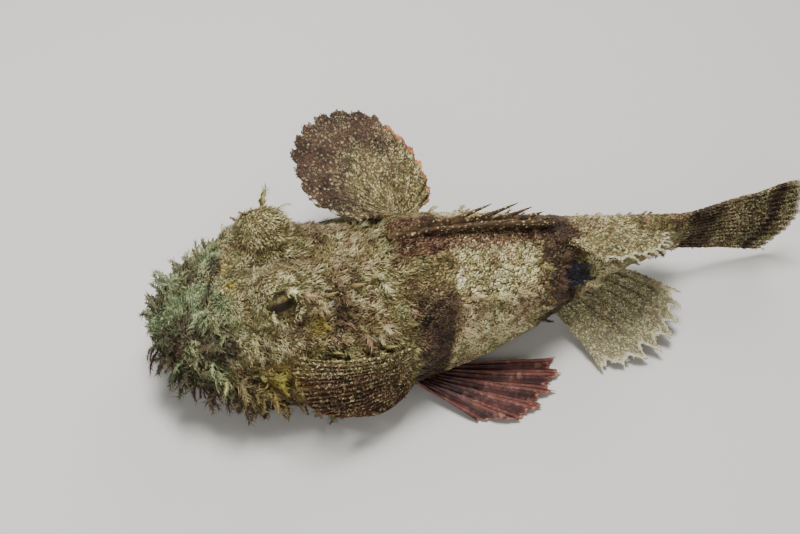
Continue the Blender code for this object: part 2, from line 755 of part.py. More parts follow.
def eye_opening(side):
    """Cutter for the round opening between the lids, a cone that widens outward."""
    centre, aim = eye_centre(side), eye_aim(side)
    across = aim.orthogonal().normalized()
    other = aim.cross(across)
    rows = []
    for reach, radius in ((0.2, 0.75), (1.0, 0.92), (2.0, 1.25)):
        middle = centre + aim * ORBIT_RADIUS * reach
        size = EYE_OPENING * radius
        rows.append([middle + (across * math.cos(a) + other * math.sin(a)) * size for a in angles(18)])
    return solid("opening", *rings(rows, centre + aim * ORBIT_RADIUS * 0.2, centre + aim * ORBIT_RADIUS * 2))


def nostril(side):
    """Cutter for a pit in front of an eye."""
    angle = side * math.radians(40)
    return thorn(body_point(0.118, angle, 0.0010), -normal_at(0.118, angle), 0.0042, 0.0011, 6)


def add_head():
    head = solid("head", *head_mesh(), "head")
    for name, side in (("eye_left", -1), ("eye_right", 1)):
        cut_away(head, eye_opening(side))
        cut_away(head, ball("socket", eye_centre(side), EYE_RADIUS + GAP))
        ball(name, eye_centre(side), EYE_RADIUS, "eye", 16, 10)
    corners = [tuple(p.vertices) for p in head.data.polygons]
    jaw = solid("lower_jaw", [v.co for v in head.data.vertices], corners, "jaw")
    cut_away(head, prism(jaw_outline(0.0), STANDARD / 2))
    cut_away(jaw, prism(jaw_outline(-GAP), STANDARD / 2), "INTERSECT")
    for side in (-1, 1):
        cut_away(head, nostril(side))
    join_pieces(head, head_pieces())
    join_pieces(jaw, jaw_pieces())
    cut_at_floor(head)
    cut_at_floor(jaw)


def add_body():
    trunk = solid("trunk", *trunk_mesh(), "body")
    join_pieces(trunk, side_pieces(0.455, 0.645, 8))
    cut_at_floor(trunk)
    tail = solid("tail", *tail_mesh(), "body")
    join_pieces(tail, side_pieces(0.69, 0.93, 5))


def add_fins():
    cutter = body_cutter()
    broad, narrow = (0.0032, 0.0008, 0.0008), (0.0020, 0.0007, 0.0007)
    add_fin("pectoral_fin_right", pectoral_right(), 6, broad, 0.95, "pectoral", cutter)
    add_fin("pectoral_fin_left", pectoral_left(), 6, broad, 0.95, "pectoral", cutter)
    add_fin("pelvic_fin_right", pelvic_rays(1), 6, narrow, 0.94, "pelvic", cutter)
    add_fin("pelvic_fin_left", pelvic_rays(-1), 6, narrow, 0.94, "pelvic", cutter)
    add_spiny_fin(cutter)
    add_fin("dorsal_fin_soft", soft_rays(), 5, narrow, 0.95, "pale_fin", cutter)
    add_fin("anal_fin", anal_rays(), 5, narrow, 0.95, "pale_fin", cutter)
    add_fin("caudal_fin", caudal_rays(), 6, narrow, 0.97, "pale_fin", cutter)
    bpy.data.objects.remove(cutter)


def finish_all():
    for obj in bpy.data.objects:
        for v in obj.data.vertices:
            v.co = bend(v.co)
        obj.data.shade_smooth()
        obj.data.set_sharp_from_angle(angle=math.radians(35))


def main():
    clear_scene()
    add_head()
    add_body()
    add_fins()
    finish_all()


main()
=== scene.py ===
# Spotted scorpionfish at life size, resting on its belly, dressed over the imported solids.
# It is shaped as a straight fish in metres, nose toward -X, and then swung with its tail.

import math

import bmesh
import bpy
import numpy as np
from mathutils import Matrix, Vector


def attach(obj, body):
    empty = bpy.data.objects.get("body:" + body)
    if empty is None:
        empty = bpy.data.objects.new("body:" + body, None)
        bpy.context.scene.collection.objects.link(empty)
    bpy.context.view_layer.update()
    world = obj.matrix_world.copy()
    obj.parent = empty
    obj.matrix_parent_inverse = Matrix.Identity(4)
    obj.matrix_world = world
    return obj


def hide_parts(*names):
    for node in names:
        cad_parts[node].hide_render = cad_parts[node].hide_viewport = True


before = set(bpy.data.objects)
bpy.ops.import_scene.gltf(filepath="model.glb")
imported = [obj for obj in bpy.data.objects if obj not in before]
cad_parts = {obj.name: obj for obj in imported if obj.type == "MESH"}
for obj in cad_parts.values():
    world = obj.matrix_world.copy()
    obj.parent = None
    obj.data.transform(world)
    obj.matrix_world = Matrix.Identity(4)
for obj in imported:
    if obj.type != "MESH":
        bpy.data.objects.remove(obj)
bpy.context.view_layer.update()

fish = {
    "length": 0.225,       # snout to the root of the tail fin
    "noseX": -0.088,
    "skinDepth": 0.0005,   # how far the skin lies inside the solids, under its coat
    "seed": 11,
}

# Sizes along the body: a share of the length from the snout, then a share of the length again
outline = {
    "back": (
        (0.0, 0.150), (0.05, 0.186), (0.11, 0.228), (0.18, 0.248), (0.26, 0.250), (0.34, 0.264),
        (0.42, 0.280), (0.55, 0.266), (0.70, 0.224), (0.82, 0.188), (0.92, 0.168), (1.0, 0.165),
    ),
    "belly": (
        (0.0, 0.105), (0.04, 0.066), (0.10, 0.032), (0.20, 0.006), (0.30, -0.007), (0.42, -0.009),
        (0.55, -0.006), (0.64, 0.008), (0.72, 0.032), (0.82, 0.060), (0.92, 0.073), (1.0, 0.072),
    ),
    "halfWidth": (
        (0.0, 0.072), (0.05, 0.098), (0.12, 0.122), (0.20, 0.141), (0.30, 0.155), (0.38, 0.148),
        (0.48, 0.124), (0.60, 0.100), (0.72, 0.074), (0.84, 0.049), (0.93, 0.036), (1.0, 0.013),
    ),
    "widest": (
        (0.0, 0.128), (0.10, 0.118), (0.25, 0.112), (0.40, 0.125), (0.60, 0.138), (0.80, 0.128), (1.0, 0.120),
    ),
    # above 2 the section is boxy, below 2 it is pinched
    "upperPower": ((0.0, 2.1), (0.18, 2.35), (0.30, 1.85), (0.40, 1.8), (0.55, 1.8), (1.0, 2.0)),
    "lowerPower": ((0.0, 2.2), (0.2, 2.7), (0.5, 2.6), (0.8, 2.1), (1.0, 2.0)),
    # degrees from the back, then a share of the length
    "gillEdge": ((0, 0.362), (35, 0.370), (60, 0.402), (80, 0.430), (104, 0.408), (140, 0.352), (180, 0.326)),
    # shares of the length, as in the first rows
    "mouth": ((-0.02, 0.140), (0.03, 0.134), (0.08, 0.122), (0.13, 0.104), (0.178, 0.080)),
    # a share of the length, then the degrees by which the body has turned there
    "tailTurn": ((0.44, 0), (0.72, 11), (0.98, 3), (1.25, 0)),
}

headForm = {
    "snout": 0.075,        # share of the length in which the snout rounds off
    "lip": 0.0015,         # how far the lips stand out
    "lipHeight": 0.0022,
    "lipEnd": 0.193,       # share of the length where the lips run out
    "gillStep": 0.0016,    # drop behind the edge of the gill cover
    "gillFade": 0.030,     # share of the length in which the drop is gone
}

# Bumps and hollows of the head: height, share of the length, degrees from the back, and their reach
relief = (
    (0.0034, 0.190, 36, 0.060, 17),
    (-0.0040, 0.180, 0, 0.050, 12),
    (-0.0042, 0.255, 0, 0.026, 15),
    (0.0024, 0.312, 24, 0.050, 7),
    (0.0028, 0.095, 24, 0.026, 11),
    (0.0036, 0.142, 34, 0.026, 14),
    (-0.0026, 0.128, 62, 0.030, 9),
    (0.0030, 0.215, 84, 0.085, 6),
    (0.0030, 0.285, 112, 0.050, 20),
    (0.0020, 0.345, 68, 0.045, 7),
    (-0.0016, 0.300, 92, 0.060, 6),
    (0.0022, 0.176, 104, 0.018, 9),
)

eye = {
    "radius": 0.0082,
    "centre": (0.186, 0.064, 0.243),   # shares of the length: back, across, up
    "aim": (-0.10, 0.88, 0.44),
    "orbit": 0.0101,
    "brow": 0.0012,                    # how far the orbit stands out more at its brow
    "browAim": (0.25, -0.15, 0.95),    # back, outward and up
    "bare": (0.0125, 0.80),            # no turf grows nearer than this where it is so squarely in front
    "opening": 0.0064,
    "blend": 0.0044,                   # how softly the orbit runs into the head
    "clearance": 0.0001,               # from the ball to its socket
    "lids": ((0.002, 0.75), (0.0101, 0.92), (0.0202, 1.25)),   # distance out, and share of the opening
}

rng = np.random.default_rng(fish["seed"])


# Shaping tools

def smoothCurve(points, x):
    places = np.array([p[0] for p in points], float)
    values = np.array([p[1] for p in points], float)
    slopes = np.empty_like(values)
    slopes[1:-1] = (values[2:] - values[:-2]) / (places[2:] - places[:-2])
    slopes[0] = (values[1] - values[0]) / (places[1] - places[0])
    slopes[-1] = (values[-1] - values[-2]) / (places[-1] - places[-2])
    x = np.clip(np.asarray(x, float), places[0], places[-1])
    i = np.clip(np.searchsorted(places, x, side="right") - 1, 0, len(places) - 2)
    width = places[i + 1] - places[i]
    t = (x - places[i]) / width
    return (
        (2 * t**3 - 3 * t**2 + 1) * values[i] + (t**3 - 2 * t**2 + t) * width * slopes[i]
        + (3 * t**2 - 2 * t**3) * values[i + 1] + (t**3 - t**2) * width * slopes[i + 1]
    )


def ease(t):
    t = np.clip(t, 0.0, 1.0)
    return t * t * (3 - 2 * t)


def unit(v):
    return v / np.maximum(np.linalg.norm(v, axis=-1, keepdims=True), 1e-12)


def powerOf(value, power):
    return np.sign(value) * np.abs(value) ** power


def blot(share, degrees, at, turn, reach, spread):
    # 1 at one place on the body and fading to 0 around it
    return np.exp(-(((share - at) / reach) ** 2) - (((degrees - turn) / spread) ** 2))


def along(share):
    return fish["noseX"] + share * fish["length"]


def shareOf(x):
    return (x - fish["noseX"]) / fish["length"]


def heightOf(edge, share):
    return smoothCurve(outline[edge], share) * fish["length"]


def eyeCentre(side):
    back, across, up = eye["centre"]
    return np.array([along(back), side * across * fish["length"], up * fish["length"]])


def eyeAim(side):
    ahead, across, up = eye["aim"]
    return unit(np.array([ahead, side * across, up]))


def climb(points, out, side, radius):
    # how far each point has to go outwards to reach a ball round the eye
    away = points - eyeCentre(side)
    onward = (away * out).sum(-1)
    apart = (away * away).sum(-1) - onward * onward
    inside = radius * radius - apart
    return -onward + np.sign(inside) * np.sqrt(np.abs(inside))


def raiseOrbit(points, out, offset):
    # the mound of each eye, highest at its brow
    for side in (-1, 1):
        near = np.linalg.norm(points - eyeCentre(side), axis=-1) < 2 * eye["orbit"]
        lift = climb(points, out, side, eye["orbit"] + offset)
        towards = unit(points + out * np.maximum(lift, 0)[..., None] - eyeCentre(side))
        back, across, up = eye["browAim"]
        brow = np.maximum(towards @ np.array([back, across * side, up]), 0)
        lift = climb(points, out, side, eye["orbit"] + eye["brow"] * brow**3 + offset)
        rise = 0.5 * (lift + np.sqrt(lift * lift + eye["blend"] ** 2))
        points = points + out * (rise * near)[..., None]
    return points


def bodyPoint(share, angle, offset=0.0):
    # a point of the straight body, by share of the length and angle from the back
    share, angle = np.broadcast_arrays(np.asarray(share, float), np.asarray(angle, float))
    top, low, half, middle = (heightOf(k, share) for k in ("back", "belly", "halfWidth", "widest"))
    rounding = np.sqrt(np.maximum(1 - (1 - np.minimum(share / headForm["snout"], 1)) ** 2, 0))
    side, up = np.sin(angle), np.cos(angle)
    upper, lower = (smoothCurve(outline[k], share) for k in ("upperPower", "lowerPower"))
    power = np.where(up > 0, upper, lower)
    reach = np.where(up > 0, top - middle, middle - low)
    y = half * rounding * powerOf(side, 2 / power)
    z = middle + reach * rounding * powerOf(up, 2 / power)
    degrees = np.degrees(np.abs(angle))
    bumps = sum(h * blot(share, degrees, at, turn, far, spread) for h, at, turn, far, spread in relief)
    offLine = np.abs(z - heightOf("mouth", share)) - headForm["lipHeight"]
    lip = headForm["lip"] * ease((headForm["lipEnd"] - share) / 0.03)
    lip = lip * np.exp(-((offLine / headForm["lipHeight"]) ** 2))
    behind = share - smoothCurve(outline["gillEdge"], degrees)
    step = np.where(behind > 0, headForm["gillStep"] * (1 - ease(behind / headForm["gillFade"])), 0)
    grow = rounding * (bumps + lip) + offset - step
    points = np.stack([along(share), y + side * grow, z + up * grow], -1)
    out = np.stack([np.zeros_like(side), side, up], -1)
    nearEyes = (share < 0.30)[..., None]
    return np.where(nearEyes, raiseOrbit(points, out, offset), points)


def bodyNormal(share, angle):
    onward = bodyPoint(share + 0.006, angle) - bodyPoint(share - 0.006, angle)
    around = bodyPoint(share, angle + 0.05) - bodyPoint(share, angle - 0.05)
    return unit(np.cross(onward, around))


def bend(points, least=None):
    # swings what lies behind the middle of the body to the fish's right, and keeps it above the floor
    points = np.array(points, float)
    start = along(outline["tailTurn"][0][0])
    stops = np.linspace(start, start + 0.22, 441)    # every half millimetre, to past the tail fin
    middles = (stops[:-1] + stops[1:]) / 2
    turns = np.radians(smoothCurve(outline["tailTurn"], shareOf(middles)))
    stride = stops[1] - stops[0]
    xs = start + np.concatenate([[0], np.cumsum(np.cos(turns))]) * stride
    ys = np.concatenate([[0], np.cumsum(np.sin(turns))]) * stride
    x = points[..., 0]
    turn = np.radians(smoothCurve(outline["tailTurn"], shareOf(x)))
    moved = np.stack([
        np.interp(x, stops, xs) - points[..., 1] * np.sin(turn),
        np.interp(x, stops, ys) + points[..., 1] * np.cos(turn),
        points[..., 2],
    ], -1)
    moved = np.where((x > start)[..., None], moved, points)
    if least is not None:
        moved[..., 2] = np.maximum(moved[..., 2], least)
    return moved


def placeOnBody(points):
    # share of the length and angle from the back of any point near the skin
    share = shareOf(points[..., 0])
    return share, np.arctan2(points[..., 1], points[..., 2] - heightOf("widest", share))


def shareAndDegrees(points):
    # the same with the two sides alike
    share, angle = placeOnBody(points)
    return share, np.degrees(np.abs(angle))


def hashed(cells, salt):
    # a steady random number of 0 to 1 for each cell of space, by mixing its three counts
    n = cells[..., 0] * 374761393 + cells[..., 1] * 668265263 + cells[..., 2] * 974634277 + salt * 1442695041
    n = (n ^ (n >> 13)) * 1274126177
    n = n ^ (n >> 16)
    return (n & 0xFFFFFF) / float(0xFFFFFF)


def cloud(points, cell, salt=0):
    # smooth noise of 0 to 1 with blotches about one cell across; salt only sets one cloud apart from others
    spot = np.asarray(points, float) / cell + 1000.0
    base = np.floor(spot).astype(np.int64)
    part = ease(spot - base)
    total = 0
    for corner in np.ndindex(2, 2, 2):
        weight = np.ones(part.shape[:-1])
        for axis, far in enumerate(corner):
            weight = weight * (part[..., axis] if far else 1 - part[..., axis])
        total = total + weight * hashed(base + np.array(corner), salt)
    return total


def clouds(points, cell, salt=0):
    # clouds of three sizes laid over each other, the coarsest strongest
    coarse, middle = cloud(points, cell, salt), cloud(points, cell / 2, salt + 7)
    return (coarse * 4 + middle * 2 + cloud(points, cell / 4, salt + 13)) / 7


# Mesh tools

def newObject(name, data):
    made = bpy.data.objects.new(name, data)
    bpy.context.scene.collection.objects.link(made)
    return made


def makeMesh(name, points, faces):
    # faces is an array of triangles or of quads
    points, faces = np.asarray(points, np.float32), np.asarray(faces, np.int32)
    mesh = bpy.data.meshes.new(name)
    mesh.vertices.add(len(points))
    mesh.vertices.foreach_set("co", points.ravel())
    mesh.loops.add(faces.size)
    mesh.loops.foreach_set("vertex_index", faces.ravel())
    mesh.polygons.add(len(faces))
    mesh.polygons.foreach_set("loop_start", np.arange(0, faces.size, faces.shape[1], dtype=np.int32))
    mesh.update(calc_edges=True)
    mesh.validate()
    return newObject(name, mesh)


def makeClosed(name, points, faces):
    # faces have any number of corners and are turned outwards
    mesh = bpy.data.meshes.new(name)
    mesh.from_pydata([tuple(p) for p in points], [], faces)
    made = newObject(name, mesh)
    outwards(made)
    return made


def outwards(thing):
    work = bmesh.new()
    work.from_mesh(thing.data)
    bmesh.ops.recalc_face_normals(work, faces=work.faces)
    work.to_mesh(thing.data)
    work.free()


def readThrees(items, key):
    flat = np.empty(len(items) * 3, np.float32)
    items.foreach_get(key, flat)
    return flat.reshape(-1, 3).astype(float)


def pointsOf(thing):
    return readThrees(thing.data.vertices, "co")


def normalsOf(thing):
    return readThrees(thing.data.vertex_normals, "vector")


def setPoints(thing, points):
    thing.data.vertices.foreach_set("co", np.asarray(points, np.float32).ravel())
    thing.data.update()


def setValues(thing, name, values):
    # one colour of four parts for each point
    layer = thing.data.attributes.new(name, "FLOAT_COLOR", "POINT")
    layer.data.foreach_set("color", np.asarray(values, np.float32).ravel())


def setUv(thing, name, uv):
    corners = np.empty(len(thing.data.loops), np.int32)
    thing.data.loops.foreach_get("vertex_index", corners)
    layer = thing.data.uv_layers.new(name=name)
    layer.data.foreach_set("uv", np.asarray(uv, np.float32)[corners].ravel())


def smoothShade(thing, degrees=None):
    thing.data.shade_smooth()
    if degrees:
        thing.data.set_sharp_from_angle(angle=math.radians(degrees))


def applyModifiers(thing):
    graph = bpy.context.evaluated_depsgraph_get()
    mesh = bpy.data.meshes.new_from_object(thing.evaluated_get(graph))
    thing.modifiers.clear()
    thing.data = mesh


def ringAt(turn, first, second):
    # points of a circle round the origin between two directions
    return np.cos(turn)[:, None] * first + np.sin(turn)[:, None] * second


def roundBody(name, rows, start, end):
    # a closed round body through rings of points, with a fan to a point at each end
    count, columns = rows.shape[:2]
    points = np.concatenate([rows.reshape(-1, 3), [start, end]])
    a = np.arange(count - 1)[:, None] * columns + np.arange(columns)[None, :]
    b = np.arange(count - 1)[:, None] * columns + (np.arange(columns)[None, :] + 1) % columns
    quads = np.stack([a, a + columns, b + columns, b], -1).reshape(-1, 4).tolist()
    first, last, lastRing = count * columns, count * columns + 1, (count - 1) * columns
    fans = [(first, j, (j + 1) % columns) for j in range(columns)]
    fans += [(last, lastRing + (j + 1) % columns, lastRing + j) for j in range(columns)]
    return makeClosed(name, points, quads + fans)


def cut(thing, cutter):
    knife = thing.modifiers.new("cut", "BOOLEAN")
    knife.operation = "DIFFERENCE"
    knife.solver = "MANIFOLD"
    knife.object = cutter
    applyModifiers(thing)
    bpy.data.objects.remove(cutter)


def cone(centre, aim, rings, count):
    # a round body along aim through (distance, radius) pairs
    across = unit(np.cross(aim, [0.3, 0.2, 0.9]))
    circle = ringAt(np.linspace(0, 2 * np.pi, count, endpoint=False), across, np.cross(aim, across))
    rows = np.stack([centre + aim * far + circle * radius for far, radius in rings])
    return roundBody("cutter", rows, centre + aim * rings[0][0], centre + aim * rings[-1][0])


def copies(pattern, each, count):
    # the faces of one shape, repeated for every shape with its own points
    return (np.array(pattern)[None] + each * np.arange(count)[:, None, None]).reshape(-1, 3)


# Node tools

smoothStep = {"interpolation_type": "SMOOTHSTEP"}
multiplyAdd = {"operation": "MULTIPLY_ADD"}
ofColours = {"data_type": "RGBA"}


def linear(code):
    parts = [int(code[i:i + 2], 16) / 255 for i in (1, 3, 5)]
    return tuple(c / 12.92 if c <= 0.04045 else ((c + 0.055) / 1.055) ** 2.4 for c in parts) + (1.0,)


def addNode(tree, kind, settings=None, inputs=None):
    # inputs are numbers, hex colours or sockets to link, by the input's name or number
    node = tree.nodes.new(kind)
    for key, value in (settings or {}).items():
        setattr(node, key, value)
    for key, value in (inputs or {}).items():
        if isinstance(value, bpy.types.NodeSocket):
            tree.links.new(value, node.inputs[key])
        else:
            node.inputs[key].default_value = linear(value) if isinstance(value, str) else value
    return node


def newMaterial(name):
    made = bpy.data.materials.new(name)
    made.use_nodes = True
    tree = made.node_tree
    return made, tree, tree.nodes["Principled BSDF"]


def setSockets(shader, values):
    for socket, value in values.items():
        shader.inputs[socket].default_value = value


def amounts(tree, names):
    # the parts of the pieces' own colour attributes, each under its name
    found = {}
    for attribute, parts in names.items():
        source = addNode(tree, "ShaderNodeAttribute", {"attribute_name": attribute})
        split = addNode(tree, "ShaderNodeSeparateColor", {}, {0: source.outputs["Color"]})
        found.update(zip(parts, [*split.outputs, source.outputs["Alpha"]]))
    return found


def layered(tree, shade, base, layers):
    # colours laid over each other, each by a value, where it starts and is full, and its most
    # a layer's colour is one colour, or a pair that shade mixes
    colour = base
    for value, start, full, most, over in layers:
        if isinstance(over, tuple):
            over = addNode(tree, "ShaderNodeMix", ofColours, {0: shade, 6: over[0], 7: over[1]}).outputs[2]
        spread = {0: value, 1: start, 2: full, 4: most}
        part = addNode(tree, "ShaderNodeMapRange", smoothStep, spread).outputs[0]
        colour = addNode(tree, "ShaderNodeMix", ofColours, {0: part, 6: colour, 7: over}).outputs[2]
    return colour


# Markings: the same rule colours the skin and everything that grows on it

def markings(points):
    # four amounts of 0 to 1: pale granules, dark bands with painted shade under the chin and between the
    # snout's tassels, green of the snout, warm tan and yellow
    share, degrees = shareAndDegrees(points)
    s = share + (clouds(points, 0.016, 3) - 0.5) * 0.05       # soft edges wander
    edge = share + (clouds(points, 0.006, 5) - 0.5) * 0.02    # sharp edges are finely ragged
    flank = ease((edge - 0.462) / 0.012) * ease((0.640 - s) / 0.05)
    tail = ease((edge - 0.715) / 0.03) * ease((0.93 - s) / 0.10)
    crown = ease((0.40 - s) / 0.06) * ease((95 - degrees) / 40) * 0.55
    belly = ease((degrees - 135) / 25) * 0.5
    pale = np.maximum.reduce([flank, tail * 0.95, crown, belly]) * (0.55 + 0.75 * clouds(points, 0.010, 21))
    band = ease((s - 0.375) / 0.04) * ease((0.475 - edge) / 0.02) * ease((degrees - 30) / 20)
    saddle = ease((s - 0.615) / 0.04) * ease((0.735 - s) / 0.03) * 0.9
    nape = blot(share, degrees, 0.275, 38, 0.03, 14) * 0.8
    # the chin's darkness is partly its own dark beard and partly painted shade under the head; the snout's
    # dark gaps are painted shade between its tassels
    beard = ease((0.17 - s) / 0.06) * ease((degrees - 80) / 25) * 0.95
    gapShade = ease((0.55 - clouds(points, 0.0065, 33)) / 0.18) * ease((0.20 - s) / 0.08) * 0.85
    flecks = ease((0.52 - clouds(points, 0.013, 31)) / 0.25) * 0.30
    dark = np.maximum.reduce([band, saddle, nape, beard, gapShade, flecks])
    green = np.exp(-((share / 0.120) ** 2)) * (0.30 + 1.2 * clouds(points, 0.008, 41))
    green = np.maximum(green, blot(share, degrees, 0.10, 22, 0.022, 14) * 0.9)
    cheek = blot(share, degrees, 0.190, 82, 0.075, 18)
    yellow = blot(share, degrees, 0.238, 46, 0.016, 8) * 1.3   # behind the eye and on the snout
    yellow = np.maximum(yellow, blot(share, degrees, 0.118, 11, 0.010, 7) * 1.2)
    warm = np.maximum(cheek * (0.5 + 0.9 * clouds(points, 0.008, 51)), yellow)
    green, pale = np.maximum(green, yellow * 0.3), np.maximum(pale, yellow * 0.9)
    return np.clip(np.stack([pale, dark, green, warm], -1), 0, 1)


def blushes(points):
    # reddish brown of back, nape and chin, on the back partly painted shade, coral, which only fins have,
    # white dots and a blue-black spot
    share, degrees = shareAndDegrees(points)
    back = ease((share - 0.36) / 0.03) * ease((0.70 - share) / 0.05) * ease((22 - degrees) / 10) * 0.95
    nape = blot(share, degrees, 0.272, 44, 0.014, 7)
    chin = blot(share, degrees, 0.180, 117, 0.075, 13) * 0.95
    blotch = ease((clouds(points, 0.011, 101) - 0.56) / 0.12) * 0.55
    maroon = np.maximum.reduce([back, nape, chin, blotch])
    ring = blot(share, degrees, 0.478, 34, 0.012, 9)
    white = ease((cloud(points, 0.0030, 111) - 0.60) / 0.1) * ring
    spot = ease((1 - np.hypot((share - 0.712) / 0.040, (degrees - 66) / 20)) / 0.3)
    blue = spot * (0.5 + 0.5 * cloud(points, 0.004, 113))
    return np.clip(np.stack([maroon, np.zeros_like(share), white, blue], -1), 0, 1)


grain = {
    "blotch": 130,          # to the metre, so 7.7 mm across
    "fleck": 700,           # 1.4 mm
    "granule": 760,         # 1.3 mm, the size of the skin's pale granules
    "push": (0.0016,) * 3,  # metres by which the flecks push the granules out of round
    "bump": 0.0006,
}


def livingSkin(name, tufts=False):
    # fish skin under a turf of fine flaps: dull, slightly wet, never one colour over 2 mm
    made, tree, shader = newMaterial(name)
    place = addNode(tree, "ShaderNodeTexCoord").outputs["Object"]
    part = amounts(tree, {
        "markings": ("pale", "dark", "green", "warm"), "blush": ("maroon", "coral", "white", "blue"),
        "tint": ("bright", "hue", "height", "luck"),
    })
    broad = {"Vector": place, "Scale": grain["blotch"], "Detail": 5, "Roughness": 0.62}
    broad = addNode(tree, "ShaderNodeTexNoise", {}, broad)
    fine = {"Vector": place, "Scale": grain["fleck"], "Detail": 3, "Roughness": 0.65}
    fine = addNode(tree, "ShaderNodeTexNoise", {}, fine)
    push = {0: fine.outputs[1], 1: grain["push"], 2: place}
    push = addNode(tree, "ShaderNodeVectorMath", multiplyAdd, push)
    grains = addNode(tree, "ShaderNodeTexVoronoi", {}, {"Vector": push.outputs[0], "Scale": grain["granule"]})
    luck = addNode(tree, "ShaderNodeSeparateColor", {}, {0: grains.outputs["Color"]}).outputs
    shade = {0: broad.outputs[0], 1: 0.36, 2: 0.64}
    shade = addNode(tree, "ShaderNodeMapRange", smoothStep, shade).outputs[0]
    ground = layered(tree, shade, "#4c3e26", [
        (shade, 0, 1, 1, ("#33261a", "#655a35")), (fine.outputs[0], 0.46, 0.66, 1, "#7f7547"),
        (part["green"], 0, 1, 0.8, ("#22331f", "#6b8159")),
        (part["warm"], 0, 1, 0.85, ("#54431f", "#94803f")),
        # the reddish brown is kept dark, partly its own colour and partly painted shade where the back lies
        # in shade
        (part["dark"], 0, 1, 0.95, ("#1a0f0b", "#46302a")), (part["maroon"], 0, 1, 1, ("#28150e", "#573627")),
    ])
    if tufts:
        # straw, green and flesh-coloured locks, with painted shade at their roots
        glow = {0: part["pale"], 1: 0.75, 2: part["bright"]}
        glow = addNode(tree, "ShaderNodeMath", multiplyAdd, glow).outputs[0]
        straw = layered(tree, part["hue"], "#877c4c", [
            (part["hue"], 0, 1, 1, ("#7d7040", "#bfae74")), (part["luck"], 0.54, 0.74, 0.65, "#a67f6c"),
            (part["luck"], 0.44, 0.26, 0.60, "#7f8f62"), (glow, 0.85, 1.5, 0.9, "#eadfb0"),
            (part["green"], 0, 1, 0.75, ("#456a4c", "#a9c898")),
            (part["warm"], 0, 1, 0.85, ("#836c38", "#cfb971")),
            (part["warm"], 0.80, 1.0, 0.65, "#b8b040"), (part["maroon"], 0, 1, 0.85, ("#4e2c1e", "#977058")),
        ])
        colour = layered(tree, shade, ground, [
            (glow, 0.25, 0.75, 1, straw), (part["dark"], 0.2, 1, 0.80, ("#1c100d", "#574035")),
            # painted shade: the locks darken toward their roots, where they lie in each other's shade
            (part["height"], 0.60, 0.0, 0.85, "#1c120b"),
        ])
    else:
        # round pale granules, more of them where the markings are pale
        few = addNode(tree, "ShaderNodeMath", multiplyAdd, {0: part["pale"], 1: 0.9, 2: luck[0]}).outputs[0]
        dots = {0: grains.outputs["Distance"], 1: 0.58, 2: 0.22}
        dots = addNode(tree, "ShaderNodeMapRange", smoothStep, dots).outputs[0]
        few = addNode(tree, "ShaderNodeMath", {"operation": "MULTIPLY"}, {0: few, 1: dots}).outputs[0]
        colour = layered(tree, luck[1], ground, [
            (few, 0.40, 1.0, 1, ("#877f52", "#d2c898")), (part["dark"], 0.2, 1, 0.6, "#2b1a14"),
        ])
    colour = layered(tree, shade, colour, [
        (part["coral"], 0, 1, 1, ("#8f452b", "#cf8558")), (part["white"], 0, 1, 1, "#e6e0c4"),
        (part["blue"], 0, 1, 1, "#1b2230"),
    ])
    tree.links.new(colour, shader.inputs["Base Color"])
    setSockets(shader, {
        "Roughness": 0.6, "Specular IOR Level": 0.25, "Subsurface Weight": 0.05, "Subsurface Scale": 0.002,
    })
    if not tufts:
        height = {0: grains.outputs["Distance"], 1: fine.outputs[0]}
        height = addNode(tree, "ShaderNodeMath", {}, height).outputs[0]
        bump = {"Strength": 0.8, "Distance": grain["bump"], "Height": height}
        bump = addNode(tree, "ShaderNodeBump", {"invert": True}, bump)
        tree.links.new(bump.outputs[0], shader.inputs["Normal"])
    return made


skinFinish = livingSkin("mottled_fish_skin")
turfFinish = livingSkin("skin_turf", True)


# Skin

skinMesh = {
    "columns": 220,
    "rows": 320,
    "crowd": 1.1,         # above 1, the rows crowd toward the snout
    "voxel": 0.00078,     # grain of the finished mesh
    "floor": 0.0001,      # how far the belly clears the floor
}
gap = {
    "corner": 0.172,      # share of the length where the gap between the lips ends
    "thin": 0.00025,      # half its height at the corner
    "wider": 0.0009,      # and how much more it is under the snout
    "half": 0.05,         # the cutter reaches this far to each side
}


def makeSkin():
    columns = np.linspace(0, 2 * np.pi, skinMesh["columns"], endpoint=False)
    shares = (np.arange(1, skinMesh["rows"] + 1) / skinMesh["rows"]) ** skinMesh["crowd"]
    rows = bodyPoint(shares[:, None], columns[None, :], -fish["skinDepth"])
    nose = bodyPoint(0.0, 0.0) + [fish["skinDepth"], 0, 0]
    end = np.array([fish["noseX"] + fish["length"], 0, heightOf("widest", 1.0)])
    skin = roundBody("skin", rows, nose, end)
    socket = eye["radius"] + eye["clearance"]
    tilts = np.linspace(-0.98, 0.98, 24) * math.pi / 2
    for side in (-1, 1):
        aim, centre = eyeAim(side), eyeCentre(side)
        cut(skin, cone(centre, aim, [(far, eye["opening"] * wide) for far, wide in eye["lids"]], 48))
        cut(skin, cone(centre, aim, [(socket * math.sin(t), socket * math.cos(t)) for t in tilts], 48))
    cut(skin, mouthCutter())
    remesh = skin.modifiers.new("grain", "REMESH")
    remesh.mode = "VOXEL"
    remesh.voxel_size = skinMesh["voxel"]
    applyModifiers(skin)
    soften = skin.modifiers.new("soften", "SMOOTH")
    soften.factor = 0.5
    soften.iterations = 2
    applyModifiers(skin)
    return skin


def mouthCutter():
    # the dark gap between the lips, a thin wedge that follows their line to the corner of the jaws
    places = np.linspace(-0.01, gap["corner"], 24)
    line = heightOf("mouth", places)
    thick = gap["wider"] * ease((0.180 - places) / 0.05) + gap["thin"]
    top, low = (np.stack([along(places), line + thick * way], -1) for way in (1, -1))
    loop = np.concatenate([top, low[::-1]])
    count = len(loop)
    points = [(a, y, b) for y in (-gap["half"], gap["half"]) for a, b in loop]
    faces = [tuple(range(count)), tuple(range(2 * count - 1, count - 1, -1))]
    faces += [(i, i + count, (i + 1) % count + count, (i + 1) % count) for i in range(count)]
    return makeClosed("gap", points, faces)


